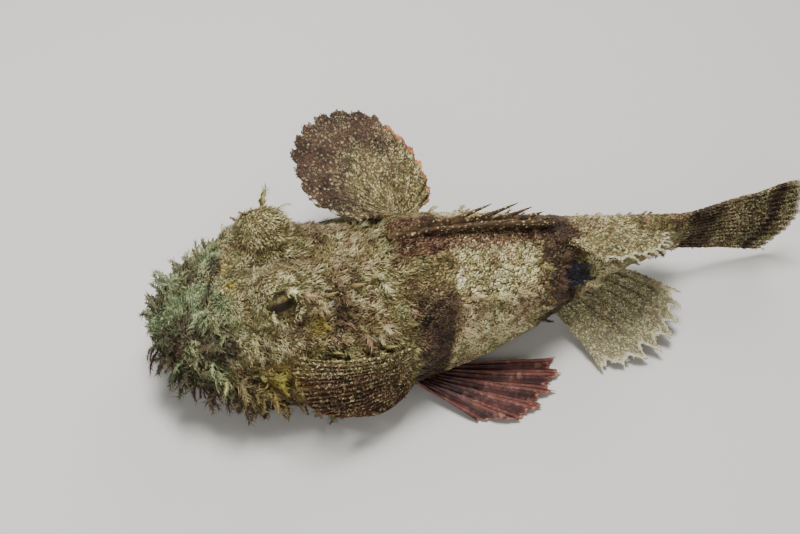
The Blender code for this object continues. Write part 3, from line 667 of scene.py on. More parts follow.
def roughen(points, normals):
    # warts and scale rows in the skin's own form, stronger on the head
    head = ease((0.42 - placeOnBody(points)[0]) / 0.08)
    warts = (clouds(points, 0.0052, 61) - 0.5) * (0.0016 * head + 0.0006)
    grit = (cloud(points, 0.0017, 71) - 0.5) * 0.0005
    return points + normals * (warts + grit)[:, None]


# The turf grows on the straight fish, so its points, normals and triangles are kept
skin = makeSkin()
straight = roughen(pointsOf(skin), normalsOf(skin))
setPoints(skin, straight)
straightNormals = normalsOf(skin)
setValues(skin, "markings", markings(straight))
setValues(skin, "blush", blushes(straight))
skin.data.calc_loop_triangles()
flat = np.empty(len(skin.data.loop_triangles) * 3, np.int32)
skin.data.loop_triangles.foreach_get("vertices", flat)
skinTriangles = flat.reshape(-1, 3)
setPoints(skin, bend(straight, skinMesh["floor"]))
smoothShade(skin)
skin.data.materials.clear()
skin.data.materials.append(skinFinish)
print("skin", len(skinTriangles), "triangles")


# Turf: thin bending locks that lie along the body, longer and thinner on the head

turf = {
    "count": 99000,
    "head": (0.0014, 0.0034),    # shortest and longest lock on the head
    "body": (0.0008, 0.0017),
    "width": (0.00022, 0.00048), # half width on the head and on the body
    "clump": 0.0026,             # locks gather in clumps of about this size
    "sway": 1.9,                 # how far, in radians, the lie wanders from place to place
    "pieces": 6,
    "sunk": 0.0003,              # the roots lie this deep
    "floor": 0.0002,             # nothing of the coat is nearer to the floor
    "patch": 0.003,              # each lock's place in the bake's map
}


def scatter(count, weigh):
    # roots spread over the skin by area and by a weight
    corners = straight[skinTriangles]
    areas = np.linalg.norm(np.cross(corners[:, 1] - corners[:, 0], corners[:, 2] - corners[:, 0]), axis=-1)
    chance = areas * weigh(corners.mean(1))
    picked = rng.choice(len(areas), count, p=chance / chance.sum())
    a, b = rng.random(count), rng.random(count)
    over = a + b > 1
    a[over], b[over] = 1 - a[over], 1 - b[over]
    mix = np.stack([1 - a - b, a, b], -1)
    roots = (corners[picked] * mix[..., None]).sum(1)
    normals = unit((straightNormals[skinTriangles[picked]] * mix[..., None]).sum(1))
    return roots, normals


def lieOf(roots, normals, sway):
    # back along the body, wandering from place to place
    turn = (clouds(roots, 0.007, 81) - 0.5) * 2 * sway
    back = np.stack([np.cos(turn), np.sin(turn) * 0.8, -0.25 + np.sin(turn * 1.7) * 0.8], -1)
    back = back + rng.normal(0, 0.35, back.shape)
    return unit(back - normals * (back * normals).sum(-1, keepdims=True))


def bakePlace(roots):
    share, angle = placeOnBody(roots)
    return np.stack([np.clip(share, 0, 1) * 0.96 + 0.02, angle / (2 * np.pi) * 0.96 + 0.5], -1)


# A lock is two rings of three points and a tip: its ten faces, and its places in its patch of the map
lockFaces = (
    (0, 2, 1), (0, 1, 4), (0, 4, 3), (1, 2, 5), (1, 5, 4),
    (2, 0, 3), (2, 3, 5), (3, 4, 6), (4, 5, 6), (5, 3, 6),
)
lockSpread = np.array([(0, 0), (1, 0), (0.5, 0.2), (0, 0.6), (1, 0.6), (0.5, 0.7), (0.5, 1)]) - 0.5


def locks(roots, normals, lie, length, width, lift, curl=0.6):
    # three-sided tapering locks, each closed, that bend over toward their lie
    across = np.cross(normals, lie)
    count = len(roots)
    length, width = length[:, None], width[:, None]
    heading = unit(normals * lift + lie * (1 - lift))
    wave = 0.25
    middle = roots + heading * length * 0.5 + across * rng.normal(0, wave * 0.3, (count, 1)) * length
    stray = across * rng.normal(0, wave, (count, 1)) * length
    tip = middle + unit(lie * curl + heading * (1 - curl)) * length * 0.55 + stray
    points = np.empty((count, 7, 3))
    base = roots - normals * turf["sunk"]
    for k, (centre, size) in enumerate(((base, 1.0), (middle, 0.8))):
        points[:, 3 * k] = centre - across * width * size
        points[:, 3 * k + 1] = centre + across * width * size
        points[:, 3 * k + 2] = centre + np.cross(lie, across) * width * size * -0.6
    points[:, 6] = tip
    return points, copies(lockFaces, 7, count), lockSpread


def facesOut(points, faces):
    # true where the first lock's faces point away from its middle
    centre = points.mean(0)
    signs = 0
    for a, b, c in faces:
        normal = np.cross(points[b] - points[a], points[c] - points[a])
        signs += np.sign(normal @ (points[[a, b, c]].mean(0) - centre))
    return signs > 0


def finishCoat(name, points, faces, spread, roots, tint, marks=None, places=None):
    # points is (locks, points each, 3), and every lock keeps its root's markings
    each = points.shape[1]
    if not facesOut(points[0], faces[faces.max(1) < each]):
        faces = faces[:, ::-1]
    made = makeMesh(name, bend(points.reshape(-1, 3), turf["floor"]), faces)
    marks = (markings(roots), blushes(roots)) if marks is None else marks
    setValues(made, "markings", np.repeat(marks[0], each, 0))
    setValues(made, "blush", np.repeat(marks[1], each, 0))
    setValues(made, "tint", tint.reshape(-1, 4))
    places = bakePlace(roots) if places is None else places
    uv = places[:, None, :] + spread[None] * turf["patch"]
    setUv(made, "OFBake", uv.reshape(-1, 2))
    smoothShade(made)
    made.data.materials.append(turfFinish)


def coatWeight(points):
    # thicker on the head, thin under the belly, none on the eyes
    share, degrees = shareAndDegrees(points)
    weight = 1.0 + 0.6 * ease((0.42 - share) / 0.1)
    weight = weight * (1 - 0.75 * ease((degrees - 150) / 15))
    reach, front = eye["bare"]
    for side in (-1, 1):
        away = points - eyeCentre(side)
        facing = (unit(away) * eyeAim(side)).sum(-1)
        weight = weight * np.where((np.linalg.norm(away, axis=-1) < reach) & (facing > front), 0.0, 1.0)
    return weight


def tintOf(roots, each, first):
    # how bright each lock is, its hue, 0 at its root and 1 where it is in the light, and a chance of its own
    count = len(roots)
    clump = (cloud(roots, turf["clump"], 161) - 0.5) * 1.5
    tint = rng.random((count, 1, 4))
    tint[:, 0, 0] = np.clip(0.5 + clump + (tint[:, 0, 0] - 0.5) * 0.8, 0, 1)
    tint[:, 0, 3] = 0.75 * cloud(roots, 0.0048, 171) + 0.25 * tint[:, 0, 3]
    tint = np.repeat(tint, each, 1)
    tint[:, :first, 2] = 0.0
    tint[:, first:, 2] = 1.0
    return tint


def makeTurf():
    count = turf["count"] // turf["pieces"]
    for k in range(turf["pieces"]):
        roots, normals = scatter(count, coatWeight)
        lie = lieOf(roots, normals, turf["sway"])
        share, angle = placeOnBody(roots)
        head = ease((0.44 - share) / 0.08)
        face = np.exp(-(((share - 0.16) / 0.09) ** 2)) * 0.35
        low, high = (turf["body"][i] * (1 - head) + turf["head"][i] * head for i in (0, 1))
        tall = 0.45 + 1.1 * cloud(roots, turf["clump"], 161)
        length = (low + (high - low) * rng.random(count) ** 1.6) * (1 - face) * tall
        length = length * (0.7 + 0.6 * clouds(roots, 0.009, 91))
        # shorter and flatter on the right of the nape, under the raised fin
        under = ease((angle - 0.3) / 0.2) * ease((1.3 - angle) / 0.2)
        under = under * ease((share - 0.27) / 0.03) * ease((0.46 - share) / 0.03)
        length = length * (1 - 0.6 * under)
        width = (turf["width"][1] * (1 - head) + turf["width"][0] * head) * (0.6 + 0.8 * rng.random(count))
        lift = (0.30 + 0.30 * head) * (1 - 0.5 * under)
        points, faces, spread = locks(roots, normals, lie, length, width, lift[:, None])
        finishCoat("turf_" + str(k + 1), points, faces, spread, roots, tintOf(roots, 7, 3))


makeTurf()
print("turf", turf["count"], "locks")


# Flaps, tassels and fringes: flat leaves with ragged tips

leaf = {
    "rows": 8,
    "sunk": 0.0010,      # the root lies this deep
    "thick": 0.00028,
    "ragged": 0.42,      # how much a forked leaf's width swings from row to row
}


def leaves(roots, normals, lie, length, width, curl, forks):
    # each leaf is a closed flat strip that tapers, bends and ends in side lobes; each row has four points
    count, rows = len(roots), leaf["rows"]
    across = unit(np.cross(normals, lie))
    points = np.empty((count, rows * 4 + 1, 3))
    spine = []
    place = roots - normals * leaf["sunk"]
    heading = normals.copy()
    step = (length[:, None] + leaf["sunk"]) / rows
    for k in range(rows):
        t = k / rows
        ragged = 1 + leaf["ragged"] * forks[:, None] * math.sin(k * 2.4 + 1)
        half = width[:, None] / 2 * (0.55 + 1.25 * t * (1 - t) * 2.0) * (1 - t**3) * ragged
        thick = leaf["thick"] * (1 - 0.6 * t)
        up = unit(np.cross(across, heading)) * thick
        points[:, 4 * k] = place - across * half - up * 0.5
        points[:, 4 * k + 1] = place + across * half - up * 0.5
        points[:, 4 * k + 2] = place + across * half * 0.5 + up
        points[:, 4 * k + 3] = place - across * half * 0.5 + up
        spine.append((place, heading, unit(up), half))
        heading = unit(normals * (1 - curl[:, None] * (t + 0.15)) + lie * curl[:, None] * (t + 0.15))
        place = place + heading * step
    points[:, -1] = place
    pattern = [(0, 1, 2), (0, 2, 3)]
    for k in range(rows - 1):
        for j in range(4):
            a, b = 4 * k + j, 4 * k + (j + 1) % 4
            pattern += [(a, b + 4, b), (a, a + 4, b + 4)]
    last = 4 * (rows - 1)
    pattern += [(last + j, 4 * rows, last + (j + 1) % 4) for j in range(4)]
    places = [(j in (1, 2), k / rows) for k in range(rows) for j in range(4)]
    spread = np.array(places + [(0.5, 1)], float) - 0.5
    return points, copies(pattern, rows * 4 + 1, count), spread, spine


def leafPiece(name, share, degrees, side, length, width, lie, curl, forks, glow=0.0):
    share, degrees, side = (np.asarray(v, float) for v in (share, degrees, side))
    angle = side * np.radians(degrees)
    roots, normals = bodyPoint(share, angle, -fish["skinDepth"]), bodyNormal(share, angle)
    towards = np.asarray(lie, float) * np.stack([np.ones_like(side), side, np.ones_like(side)], -1)
    towards = unit(towards - normals * (towards * normals).sum(-1, keepdims=True))
    length, width, curl, forks = (np.asarray(v, float) for v in (length, width, curl, forks))
    points, faces, spread, spine = leaves(roots, normals, towards, length, width, curl, forks)
    tint = tintOf(roots, points.shape[1], 0)
    tint[:, :, 0] += glow
    # leaves are painted in shade toward their roots
    tint[:, :, 2] = 0.25 + 0.75 * (spread[:, 1] + 0.5)
    finishCoat(name, points, faces, spread, roots, tint)
    frill(name + "_frill", roots, length, spine, glow)


def frill(name, owners, length, spine, glow):
    # fine locks along both edges of every leaf, so that it reads as a ragged tassel
    parts = []
    for place, heading, up, half in spine[2:]:
        for edge in (-1, 1, 0):
            across = np.cross(up, heading)
            roots = place + across * half * edge * 0.8
            lie = unit(heading * 0.8 + across * (edge * 0.55 + rng.normal(0, 0.35, (len(roots), 1))))
            size = length * (0.16 + 0.26 * rng.random(len(roots)))
            parts.append((roots, up * (1 if edge else -1), lie, size))
    roots, normals, lie, size = (np.concatenate([p[i] for p in parts]) for i in range(4))
    points, faces, spread = locks(roots, normals, lie, size, np.full(len(size), 0.00022), 0.25, 0.6)
    owner = np.tile(owners, (len(parts), 1))
    tint = tintOf(owner, 7, 3)
    tint[:, :, 0] = np.clip(tint[:, :, 0] * 0.8 + glow + 0.15 * rng.random((len(owner), 1)), 0, 1.5)
    # the first points of the frill's locks are partly painted in shade
    tint[:, :3, 2] = 0.4
    finishCoat(name, points, faces, spread, owner, tint)


flaps = {
    "fringe": 300,        # over the head and jaw
    "beard": 170,         # round the snout and chin
    "side": 150,          # along the lateral line and the flanks
    "length": (0.0030, 0.0078),
    "lateralLine": ((0.40, 0.60, 0.80, 1.0), (48, 62, 82, 90)),   # shares of the length, degrees
    # pairs that name the fish, over the eyes, at the nostrils and on the chin:
    # share of the length, degrees, length, width, the way they hang and their curl
    "tassels": (
        (0.190, 25, 0.0080, 0.0042, (0.5, 0.8, 0.5), 0.45),
        (0.214, 27, 0.0066, 0.0030, (0.9, 0.5, 0.3), 0.6),
        (0.092, 38, 0.0068, 0.0036, (0.1, 0.6, 0.8), 0.5),
        (0.085, 72, 0.0080, 0.0040, (0.4, 0.5, -0.7), 0.6),
        (0.120, 84, 0.0090, 0.0042, (0.5, 0.5, -0.7), 0.6),
        (0.045, 118, 0.0088, 0.0040, (0.0, 0.5, -0.8), 0.5),
        (0.080, 112, 0.0092, 0.0040, (0.3, 0.5, -0.8), 0.5),
        (0.018, 120, 0.0080, 0.0036, (-0.3, 0.4, -0.8), 0.5),
    ),
}


def makeFringes():
    # over the head and jaw, shorter near the eyes, and none where the raised fin passes over the nape
    count = flaps["fringe"]
    share = rng.random(count) ** 0.8 * 0.34 + 0.012
    degrees = 20 + 150 * rng.random(count)
    side = rng.choice([-1.0, 1.0], count)
    low, high = flaps["length"]
    size = low + (high - low) * rng.random(count) ** 1.5
    nearEye = blot(share, degrees, 0.186, 36, 0.05, 22)
    size = size * (1 - 0.65 * nearEye)
    size = size * (1 + 0.35 * (ease((degrees - 85) / 20) * ease((0.20 - share) / 0.06)))
    onward, sideways = 0.5 + rng.normal(0, 0.5, count), 0.4 + rng.random(count) * 0.4
    lie = np.stack([onward, sideways, -0.7 + rng.normal(0, 0.4, count)], -1)
    keep = (nearEye < 0.32) & ~((side > 0) & (share > 0.24) & (degrees < 100))
    share, degrees, side, size, lie = (v[keep] for v in (share, degrees, side, size, lie))
    count = len(share)
    forks = rng.random(count) < 0.65
    width = size * (0.15 + 0.10 * rng.random(count))
    leafPiece("head_fringes", share, degrees, side, size, width, lie, 0.5 + 0.4 * rng.random(count), forks)


def makeSideFlaps():
    count = flaps["side"]
    share = 0.42 + 0.54 * rng.random(count)
    scattered = rng.normal(0, 1, count) * np.where(rng.random(count) < 0.45, 2.0, 26)
    degrees = np.clip(np.interp(share, *flaps["lateralLine"]) + scattered, 12, 150)
    side = rng.choice([-1.0, 1.0], count)
    size = 0.0024 + 0.0030 * rng.random(count)
    lie = np.stack([np.ones(count), 0.2 * rng.normal(0, 1, count), -0.3 + rng.normal(0, 0.4, count)], -1)
    forks = rng.random(count) < 0.6
    leafPiece("side_flaps", share, degrees, side, size, size * 0.30, lie, np.full(count, 0.8), forks)


def makeTassels():
    both = [(*row, side) for row in flaps["tassels"] for side in (-1.0, 1.0)]
    share, degrees, length, width, lie, curl, side = (np.array(column) for column in zip(*both))
    leafPiece("tassels", share, degrees, side, length, width * 0.6, lie, curl, np.ones(len(both)), 0.15)


def makeBeard():
    # branching tufts round the snout, the lips and the chin
    count = flaps["beard"]
    share = 0.005 + 0.165 * rng.random(count) ** 0.9
    degrees = 25 + 125 * rng.random(count)
    side = rng.choice([-1.0, 1.0], count)
    size = (0.0034 + 0.0050 * rng.random(count) ** 1.4) * (0.7 + 0.5 * ease((degrees - 50) / 50))
    onward, sideways = rng.normal(0, 0.6, count), 0.3 + 0.5 * rng.random(count)
    lie = np.stack([onward, sideways, -0.4 + rng.normal(0, 0.6, count)], -1)
    curl = 0.35 + 0.4 * rng.random(count)
    leafPiece("beard", share, degrees, side, size, size * 0.20, lie, curl, np.ones(count), 0.1)


makeFringes()
makeSideFlaps()
makeTassels()
makeBeard()
print("flaps and tassels")


# Spines of the head, bony and sharp with a fleshy root

headSpines = {
    # share of the length, degrees from the back, length and radius at the root
    "places": (
        (0.262, 27, 0.0050, 0.0013), (0.305, 26, 0.0055, 0.0014), (0.338, 24, 0.0050, 0.0013),
        (0.262, 62, 0.0045, 0.0012), (0.330, 84, 0.0046, 0.0014), (0.322, 96, 0.0040, 0.0013),
        (0.312, 110, 0.0042, 0.0012), (0.346, 64, 0.0045, 0.0013), (0.225, 20, 0.0032, 0.0010),
        (0.150, 20, 0.0030, 0.0010),
    ),
    "shorter": 0.85,       # shares of those lengths and radii that the turf lets show
    "thinner": 0.65,
    "sides": 10,
    "taper": ((-0.4, 1.0), (0.0, 0.95), (0.3, 0.66), (0.6, 0.40), (0.85, 0.16)),   # how far, how thick
}


def spineStands(row, side):
    # the front ones on both sides, the others where no pectoral fin passes over them
    share, degrees = row[:2]
    return (degrees < 80 and share < 0.3) or (side > 0) == (degrees > 80)


def makeHeadSpines():
    rows = [(*row, side) for row in headSpines["places"] for side in (-1, 1) if spineStands(row, side)]
    share, degrees, length, radius, side = (np.array(column) for column in zip(*rows))
    angle = np.array([s * math.radians(d) for d, s in zip(degrees, side)])
    length, radius = length[:, None] * headSpines["shorter"], radius[:, None] * headSpines["thinner"]
    roots, normals = bodyPoint(share, angle), bodyNormal(share, angle)
    aim = unit(normals + np.array([1.0, 0, 0.1]))
    across = unit(np.cross(aim, [0.1, 0.9, 0.2]))
    other = np.cross(aim, across)
    sides, taper = headSpines["sides"], headSpines["taper"]
    points = []
    for far, size in taper:
        for j in range(sides):
            turn = 2 * math.pi * j / sides
            ring = across * math.cos(turn) + other * math.sin(turn)
            points.append(roots + aim * length * far + ring * radius * size)
    points.append(roots + aim * length * 1.02)
    points.append(roots - aim * length * 0.45)
    points = np.stack(points, 1)
    tip, base = sides * len(taper), sides * len(taper) + 1
    pattern = [(base, j, (j + 1) % sides) for j in range(sides)]
    for k in range(len(taper) - 1):
        for j in range(sides):
            a, b = k * sides + j, k * sides + (j + 1) % sides
            pattern += [(a, b + sides, b), (a, a + sides, b + sides)]
    last = (len(taper) - 1) * sides
    pattern += [(tip, last + (j + 1) % sides, last + j) for j in range(sides)]
    faces = copies(pattern, points.shape[1], len(roots))
    places = [(j / sides, k / len(taper)) for k in range(len(taper)) for j in range(sides)]
    spread = np.array(places + [(0.5, 1), (0.5, 0)]) - 0.5
    tint = np.zeros((len(roots), points.shape[1], 4))
    tint[:, :, 0] = 0.35 + spread[:, 1] * 0.5
    tint[:, :, 1:] = (0.6, 0.75, 0.5)
    finishCoat("head_spines", points, faces, spread, roots, tint)


makeHeadSpines()
print("head spines")


# Eyes: a wet ball, its iris marked like the skin round a dark slot

eyeball = {
    "rings": 72,
    "around": 64,
    "bulge": 0.02,         # how far the cornea stands out, a share of the radius
    "bulgeReach": 30,      # degrees from its middle
    "slotWide": 1.20,      # the dark slot reaches past the lids
    "slotHigh": 0.40,
    "slotTilt": 20,        # degrees, its rear end the higher one
}


def eyeFinish():
    # an iris as mottled as the skin round it, under a cornea with only a soft wet shine
    made, tree, shader = newMaterial("wet_eye")
    part = amounts(tree, {"gaze": ("slot", "ring")})
    place = addNode(tree, "ShaderNodeTexCoord").outputs["Object"]
    fleck = addNode(tree, "ShaderNodeTexVoronoi", {}, {"Vector": place, "Scale": 900})               # 1.1 mm
    veil = addNode(tree, "ShaderNodeTexNoise", {}, {"Vector": place, "Scale": 500, "Detail": 3})     # 2 mm
    colour = layered(tree, veil.outputs[0], "#3f3520", [
        (veil.outputs[0], 0.40, 0.60, 1, "#6a5e3b"), (fleck.outputs["Distance"], 0.42, 0.15, 0.6, "#918458"),
        (part["ring"], 0.62, 0.85, 0.7, "#2c2215"), (part["slot"], 0.74, 0.34, 1, "#1f170e"),
    ])
    tree.links.new(colour, shader.inputs["Base Color"])
    setSockets(shader, {
        "Roughness": 0.55, "IOR": 1.34, "Specular IOR Level": 0.35,
        "Coat Weight": 0.04, "Coat Roughness": 0.25,
    })
    return made


def makeEyes():
    finish = eyeFinish()
    for name, side in (("left", -1), ("right", 1)):
        centre, aim = eyeCentre(side), eyeAim(side)
        level = unit(np.cross(aim, [0, 0, 1.0]))
        upward = np.cross(level, aim)
        off = np.linspace(0.4, 179.6, eyeball["rings"]) * math.pi / 180
        circle = ringAt(np.linspace(0, 2 * np.pi, eyeball["around"], endpoint=False), level, upward)
        bulge = 1 + eyeball["bulge"] * np.exp(-((np.degrees(off) / eyeball["bulgeReach"]) ** 2))
        rows = np.cos(off)[:, None, None] * aim + np.sin(off)[:, None, None] * circle[None]
        rows = centre + eye["radius"] * bulge[:, None, None] * rows
        front, rear = centre + aim * eye["radius"] * 1.02, centre - aim * eye["radius"]
        ball = roundBody("eyeball_" + name, rows, front, rear)
        away = unit(pointsOf(ball) - centre)
        flat = np.stack([away @ level, away @ upward], -1)
        behind = (away @ aim < 0) * 2
        tilt = np.radians(eyeball["slotTilt"]) * side
        wide = flat[:, 0] * np.cos(tilt) + flat[:, 1] * np.sin(tilt)
        high = flat[:, 1] * np.cos(tilt) - flat[:, 0] * np.sin(tilt)
        slot = np.sqrt((wide / eyeball["slotWide"]) ** 2 + (high / eyeball["slotHigh"]) ** 2) + behind
        ring = np.linalg.norm(flat, axis=1) + behind
        setValues(ball, "gaze", np.clip(np.stack([slot, ring, ring * 0, ring * 0], -1), 0, 1))
        setPoints(ball, bend(pointsOf(ball)))
        smoothShade(ball)
        ball.data.materials.append(finish)
        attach(ball, "root")
        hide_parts("eye_" + name)


makeEyes()
print("eyes")


# Fins: thin skin over raised rays, ragged at the edge

def outward(side, swing, rise):
    b, r = np.radians(swing), np.radians(rise)
    return np.stack([np.cos(b) * np.cos(r), side * np.sin(b) * np.cos(r), np.sin(r)], -1)


def fanOf(side, shares, degrees, swings, rises, lengths, sink, bow):
    # a fin whose rays fan out from the body's side; each size is a curve from its first ray to its last
    def surface(u, v):
        root = bodyPoint(smoothCurve(shares, u), side * np.radians(smoothCurve(degrees, u)), -sink)
        aim = outward(side, smoothCurve(swings, u), smoothCurve(rises, u))
        reach = (smoothCurve(lengths, u) * fish["length"] + sink)[..., None] * v[..., None]
        return root + aim * reach + np.array(bow) * (4 * v * (1 - v))[..., None]
    return surface


def pelvicSurface(side):
    # spread flat on the floor from the belly's side
    swings = ((0, 46), (0.2, 39), (0.4, 32), (0.6, 25), (0.8, 18), (1, 12))
    reaches = ((0, 28), (0.2, 42), (0.4, 48), (0.6, 52), (0.8, 56), (1, 56))    # millimetres
    sink, floor = 0.004, 0.0009

    def surface(u, v):
        share, degrees = 0.405 + 0.020 * u, 136 + 20 * u
        root = bodyPoint(share, side * np.radians(degrees), -sink)
        reach = (smoothCurve(reaches, u) / 1000 + sink)[..., None] * v[..., None]
        fall = np.stack([v * 0, v * 0, (root[..., 2] - floor) * v * v], -1)
        return root + outward(side, smoothCurve(swings, u), u * 0) * reach - fall
    return surface


def medianSurface(edge, shares, sink, aims, reach, fall=None):
    # a fin on the middle line, its rays rooted along the back or the belly
    def surface(u, v):
        share = shares[0] + (shares[1] - shares[0]) * u
        z = heightOf(edge, share) + sink
        root = np.stack([along(share), u * 0, z], -1)
        drop = 0 * v if fall is None else fall(u, z) * v * v
        far = (reach(u) * fish["length"] + abs(sink))[..., None] * v[..., None]
        return root + aims(u) * far - np.stack([v * 0, v * 0, drop], -1)
    return surface


def softAims(u):
    rise, lean = np.radians(74 - 44 * u), math.radians(74)
    return np.stack([np.cos(rise), -np.sin(rise) * math.sin(lean), np.sin(rise) * math.cos(lean)], -1)


def caudalSurface(u, v):
    inset, sink = 0.0015, 0.004
    low, high = heightOf("belly", 1.0) + inset, heightOf("back", 1.0) - inset
    root = np.stack([u * 0 + fish["noseX"] + fish["length"] - sink, u * 0, low + (high - low) * u], -1)
    tilt = np.radians(26 * (u - 0.5))
    reach = (fish["length"] * (0.234 + 0.030 * np.sin(np.pi * u)) + sink)[..., None] * v[..., None]
    return root + np.stack([np.cos(tilt), u * 0, np.sin(tilt)], -1) * reach


def pelvicFin(side):
    return {
        "surface": pelvicSurface(side), "rays": 6, "notch": 0.06, "ridge": 0.0013, "ripple": 0.0010,
        "pleat": 0.0004, "teeth": 0.035, "slot": "pelvic_fin",
    }


# Notch and teeth are shares of a ray's length, ridge, ripple and pleat are metres
fins = {
    "pectoral_fin_right": {
        "surface": fanOf(
            1, shares=((0, 0.440), (1, 0.430)), degrees=((0, 80), (1, 40)),
            swings=((0, 30), (0.5, 104), (0.85, 164), (1, 196)),
            rises=((0, 20), (0.5, 15), (0.85, 17), (1, 24)),
            lengths=(
                (0, 0.085), (0.2, 0.150), (0.45, 0.225), (0.62, 0.225),
                (0.8, 0.175), (0.92, 0.135), (1, 0.085),
            ),
            sink=0.004, bow=(0, 0, 0.0032),
        ),
        "rays": 19, "notch": 0.045, "ridge": 0.0011, "ripple": 0.0006, "slot": "pectoral_fin",
    },
    "pectoral_fin_left": {
        "surface": fanOf(
            -1, shares=((0, 0.440), (1, 0.425)), degrees=((0, 78), (1, 116)),
            swings=((0, 168), (0.5, 163), (1, 154)), rises=((0, 15), (0.5, 9), (1, 0)),
            lengths=((0, 0.250), (0.3, 0.250), (0.6, 0.215), (1, 0.125)), sink=0.004, bow=(0, -0.0065, 0.001),
        ),
        "rays": 19, "notch": 0.11, "ridge": 0.0011, "ripple": 0.0006, "slot": "pectoral_fin",
    },
    "pelvic_fin_right": pelvicFin(1),
    "pelvic_fin_left": pelvicFin(-1),
    "dorsal_fin_soft": {
        "surface": medianSurface(
            "back", (0.690, 0.820), -0.005, softAims,
            lambda u: 0.078 + 0.052 * np.sin(np.pi * (0.1 + 0.8 * u)),
        ),
        "rays": 10, "notch": 0.10, "ridge": 0.0010, "ripple": 0.0008, "slot": "pale_fin",
    },
    "anal_fin": {
        "surface": medianSurface(
            "belly", (0.700, 0.820), 0.004, lambda u: outward(-1, 78 - 50 * u, u * 0),
            lambda u: 0.155 + 0.060 * np.sin(np.pi * (0.08 + 0.72 * u)) - 0.030 * u * u,
            lambda u, z: z - 0.0012 - 0.008 * u,
        ),
        "rays": 8, "notch": 0.10, "ridge": 0.0010, "ripple": 0.0008, "slot": "pale_fin",
    },
    "caudal_fin": {
        "surface": caudalSurface,
        "rays": 14, "notch": 0.05, "ridge": 0.0011, "ripple": 0.0008, "slot": "pale_fin",
    },
}

finMesh = {
    "along": 52,         # steps from root to tip
    "perRay": 14,        # columns from one ray to the next
    "half": 0.00022,     # half the skin's thickness between the rays
    "root": 0.0010,      # how much thicker it is at its root
    "wave": 0.0022,      # height of its slow waves at the edge
    "floor": 0.0001,
}


def none(u, v):
    return u * 0


def finMarks(facts, u, v, places):
    # the fins' share of the markings: granules, bars across the rays, coloured tips, and painted shade where
    # a fin has a shade
    cloudy = clouds(places, 0.009, 121)
    drift = v + (cloudy - 0.5) * 0.16
    pale = facts["pale"] * (0.45 + 0.9 * cloudy)
    dark = facts["dark"] * (0.4 + 1.0 * clouds(places, 0.006, 131)) + facts.get("shade", none)(u, v)
    for place, reach, strength, first in facts["bars"]:
        bar = np.exp(-(((drift - place) / reach) ** 2)) * strength * ease((u - first) / 0.2)
        dark = np.maximum(dark, bar)
        pale = pale * (1 - 0.8 * bar)
    phase = u * (facts["rays"] - 1)
    between = ease((np.abs(phase - np.round(phase)) - 0.22) / 0.15) * facts["lines"] * ease((v - 0.1) / 0.2)
    dark, pale = np.maximum(dark, between), pale * (1 - 0.6 * between)
    marks = [pale, dark, u * 0 + facts["green"], u * 0 + facts["warm"]]
    hues = [facts["maroon"](u, drift), facts["coral"](u, v), facts["white"](u, v), u * 0]
    return np.clip(np.stack(marks, -1), 0, 1), np.clip(np.stack(hues, -1), 0, 1)


def closedSheet(columns, rows):
    # faces of two sheets of points, one over the other, with a rim between them
    index = np.arange(columns * rows).reshape(columns, rows)
    a, b, c, d = index[:-1, :-1], index[1:, :-1], index[1:, 1:], index[:-1, 1:]
    top = np.stack([a, b, c, d], -1).reshape(-1, 4)
    low = np.stack([a, d, c, b], -1).reshape(-1, 4) + index.size
    loop = np.concatenate([index[:-1, 0], index[-1, :-1], index[:0:-1, -1], index[0, :0:-1]])
    after = np.roll(loop, -1)
    rim = np.stack([loop, loop + index.size, after + index.size, after], -1)
    return np.concatenate([top, low, rim])


def finPiece(name, facts, finish):
    columns, rows = (facts["rays"] - 1) * finMesh["perRay"] + 1, finMesh["along"] + 1
    u = np.linspace(0, 1, columns)[:, None] * np.ones((1, rows))
    v = np.ones((columns, 1)) * np.linspace(0, 1, rows)[None, :]
    phase = u * (facts["rays"] - 1)
    near = np.abs(phase - np.round(phase))                     # 0 on a ray, 0.5 between two
    ragged = cloud(np.stack([phase * 6, u * 0, u * 0], -1), 1.0, 17) * facts["notch"] * 0.6
    teeth = facts.get("teeth", 0) * np.abs(np.sin(phase * 4 * np.pi))
    grid = facts["surface"](u, v * (1 - facts["notch"] * ease(near * 2) - ragged - teeth))
    normal = unit(np.cross(np.gradient(grid, axis=0), np.gradient(grid, axis=1)))
    branch = np.exp(-(((near - 0.17 * ease((v - 0.4) / 0.3)) / 0.09) ** 2))     # each ray forks halfway out
    wave = np.sin(phase * 2 * np.pi) * facts["ripple"] * v
    wave = wave + np.sin(phase * 6 * np.pi) * facts.get("pleat", 0) * ease((v - 0.15) / 0.3)
    wave = wave + (clouds(grid, 0.012, 141) - 0.5) * finMesh["wave"] * v
    grid = grid + normal * wave[..., None]
    half = finMesh["half"] + facts["ridge"] / 2 * branch * (1 - 0.72 * v)
    half = half + finMesh["root"] * ease((0.12 - v) / 0.12)
    half = half * (1 + 0.20 * np.sin(v * 150 + np.round(phase) * 2) * branch)   # joints along the rays
    sheets = np.concatenate([(grid + normal * half[..., None] * way).reshape(-1, 3) for way in (1, -1)])
    made = makeMesh(name + "_skin", bend(sheets, finMesh["floor"]), closedSheet(columns, rows))
    outwards(made)
    if facts["turf"]:
        marks, hues = (m.reshape(-1, 4) for m in finMarks(facts, u, v, grid))
        setValues(made, "markings", np.concatenate([marks, marks]))
        setValues(made, "blush", np.concatenate([hues, hues]))
        finRoots(name, facts, u, v, grid, normal, half)
    span = np.stack([u, v, np.clip(branch, 0, 1), near * 2], -1).reshape(-1, 4)
    setValues(made, "span", np.concatenate([span, span]))
    smoothShade(made, 60)
    made.data.materials.append(finish)
    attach(made, "root")
    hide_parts(name)


finTurf = {
    "perMetre": 1.5e6,             # locks to the square metre
    "length": (0.0006, 0.0014),
    "width": 0.00032,              # half width
    "kept": [],                    # roots of every fin, filled as the fins are made
}


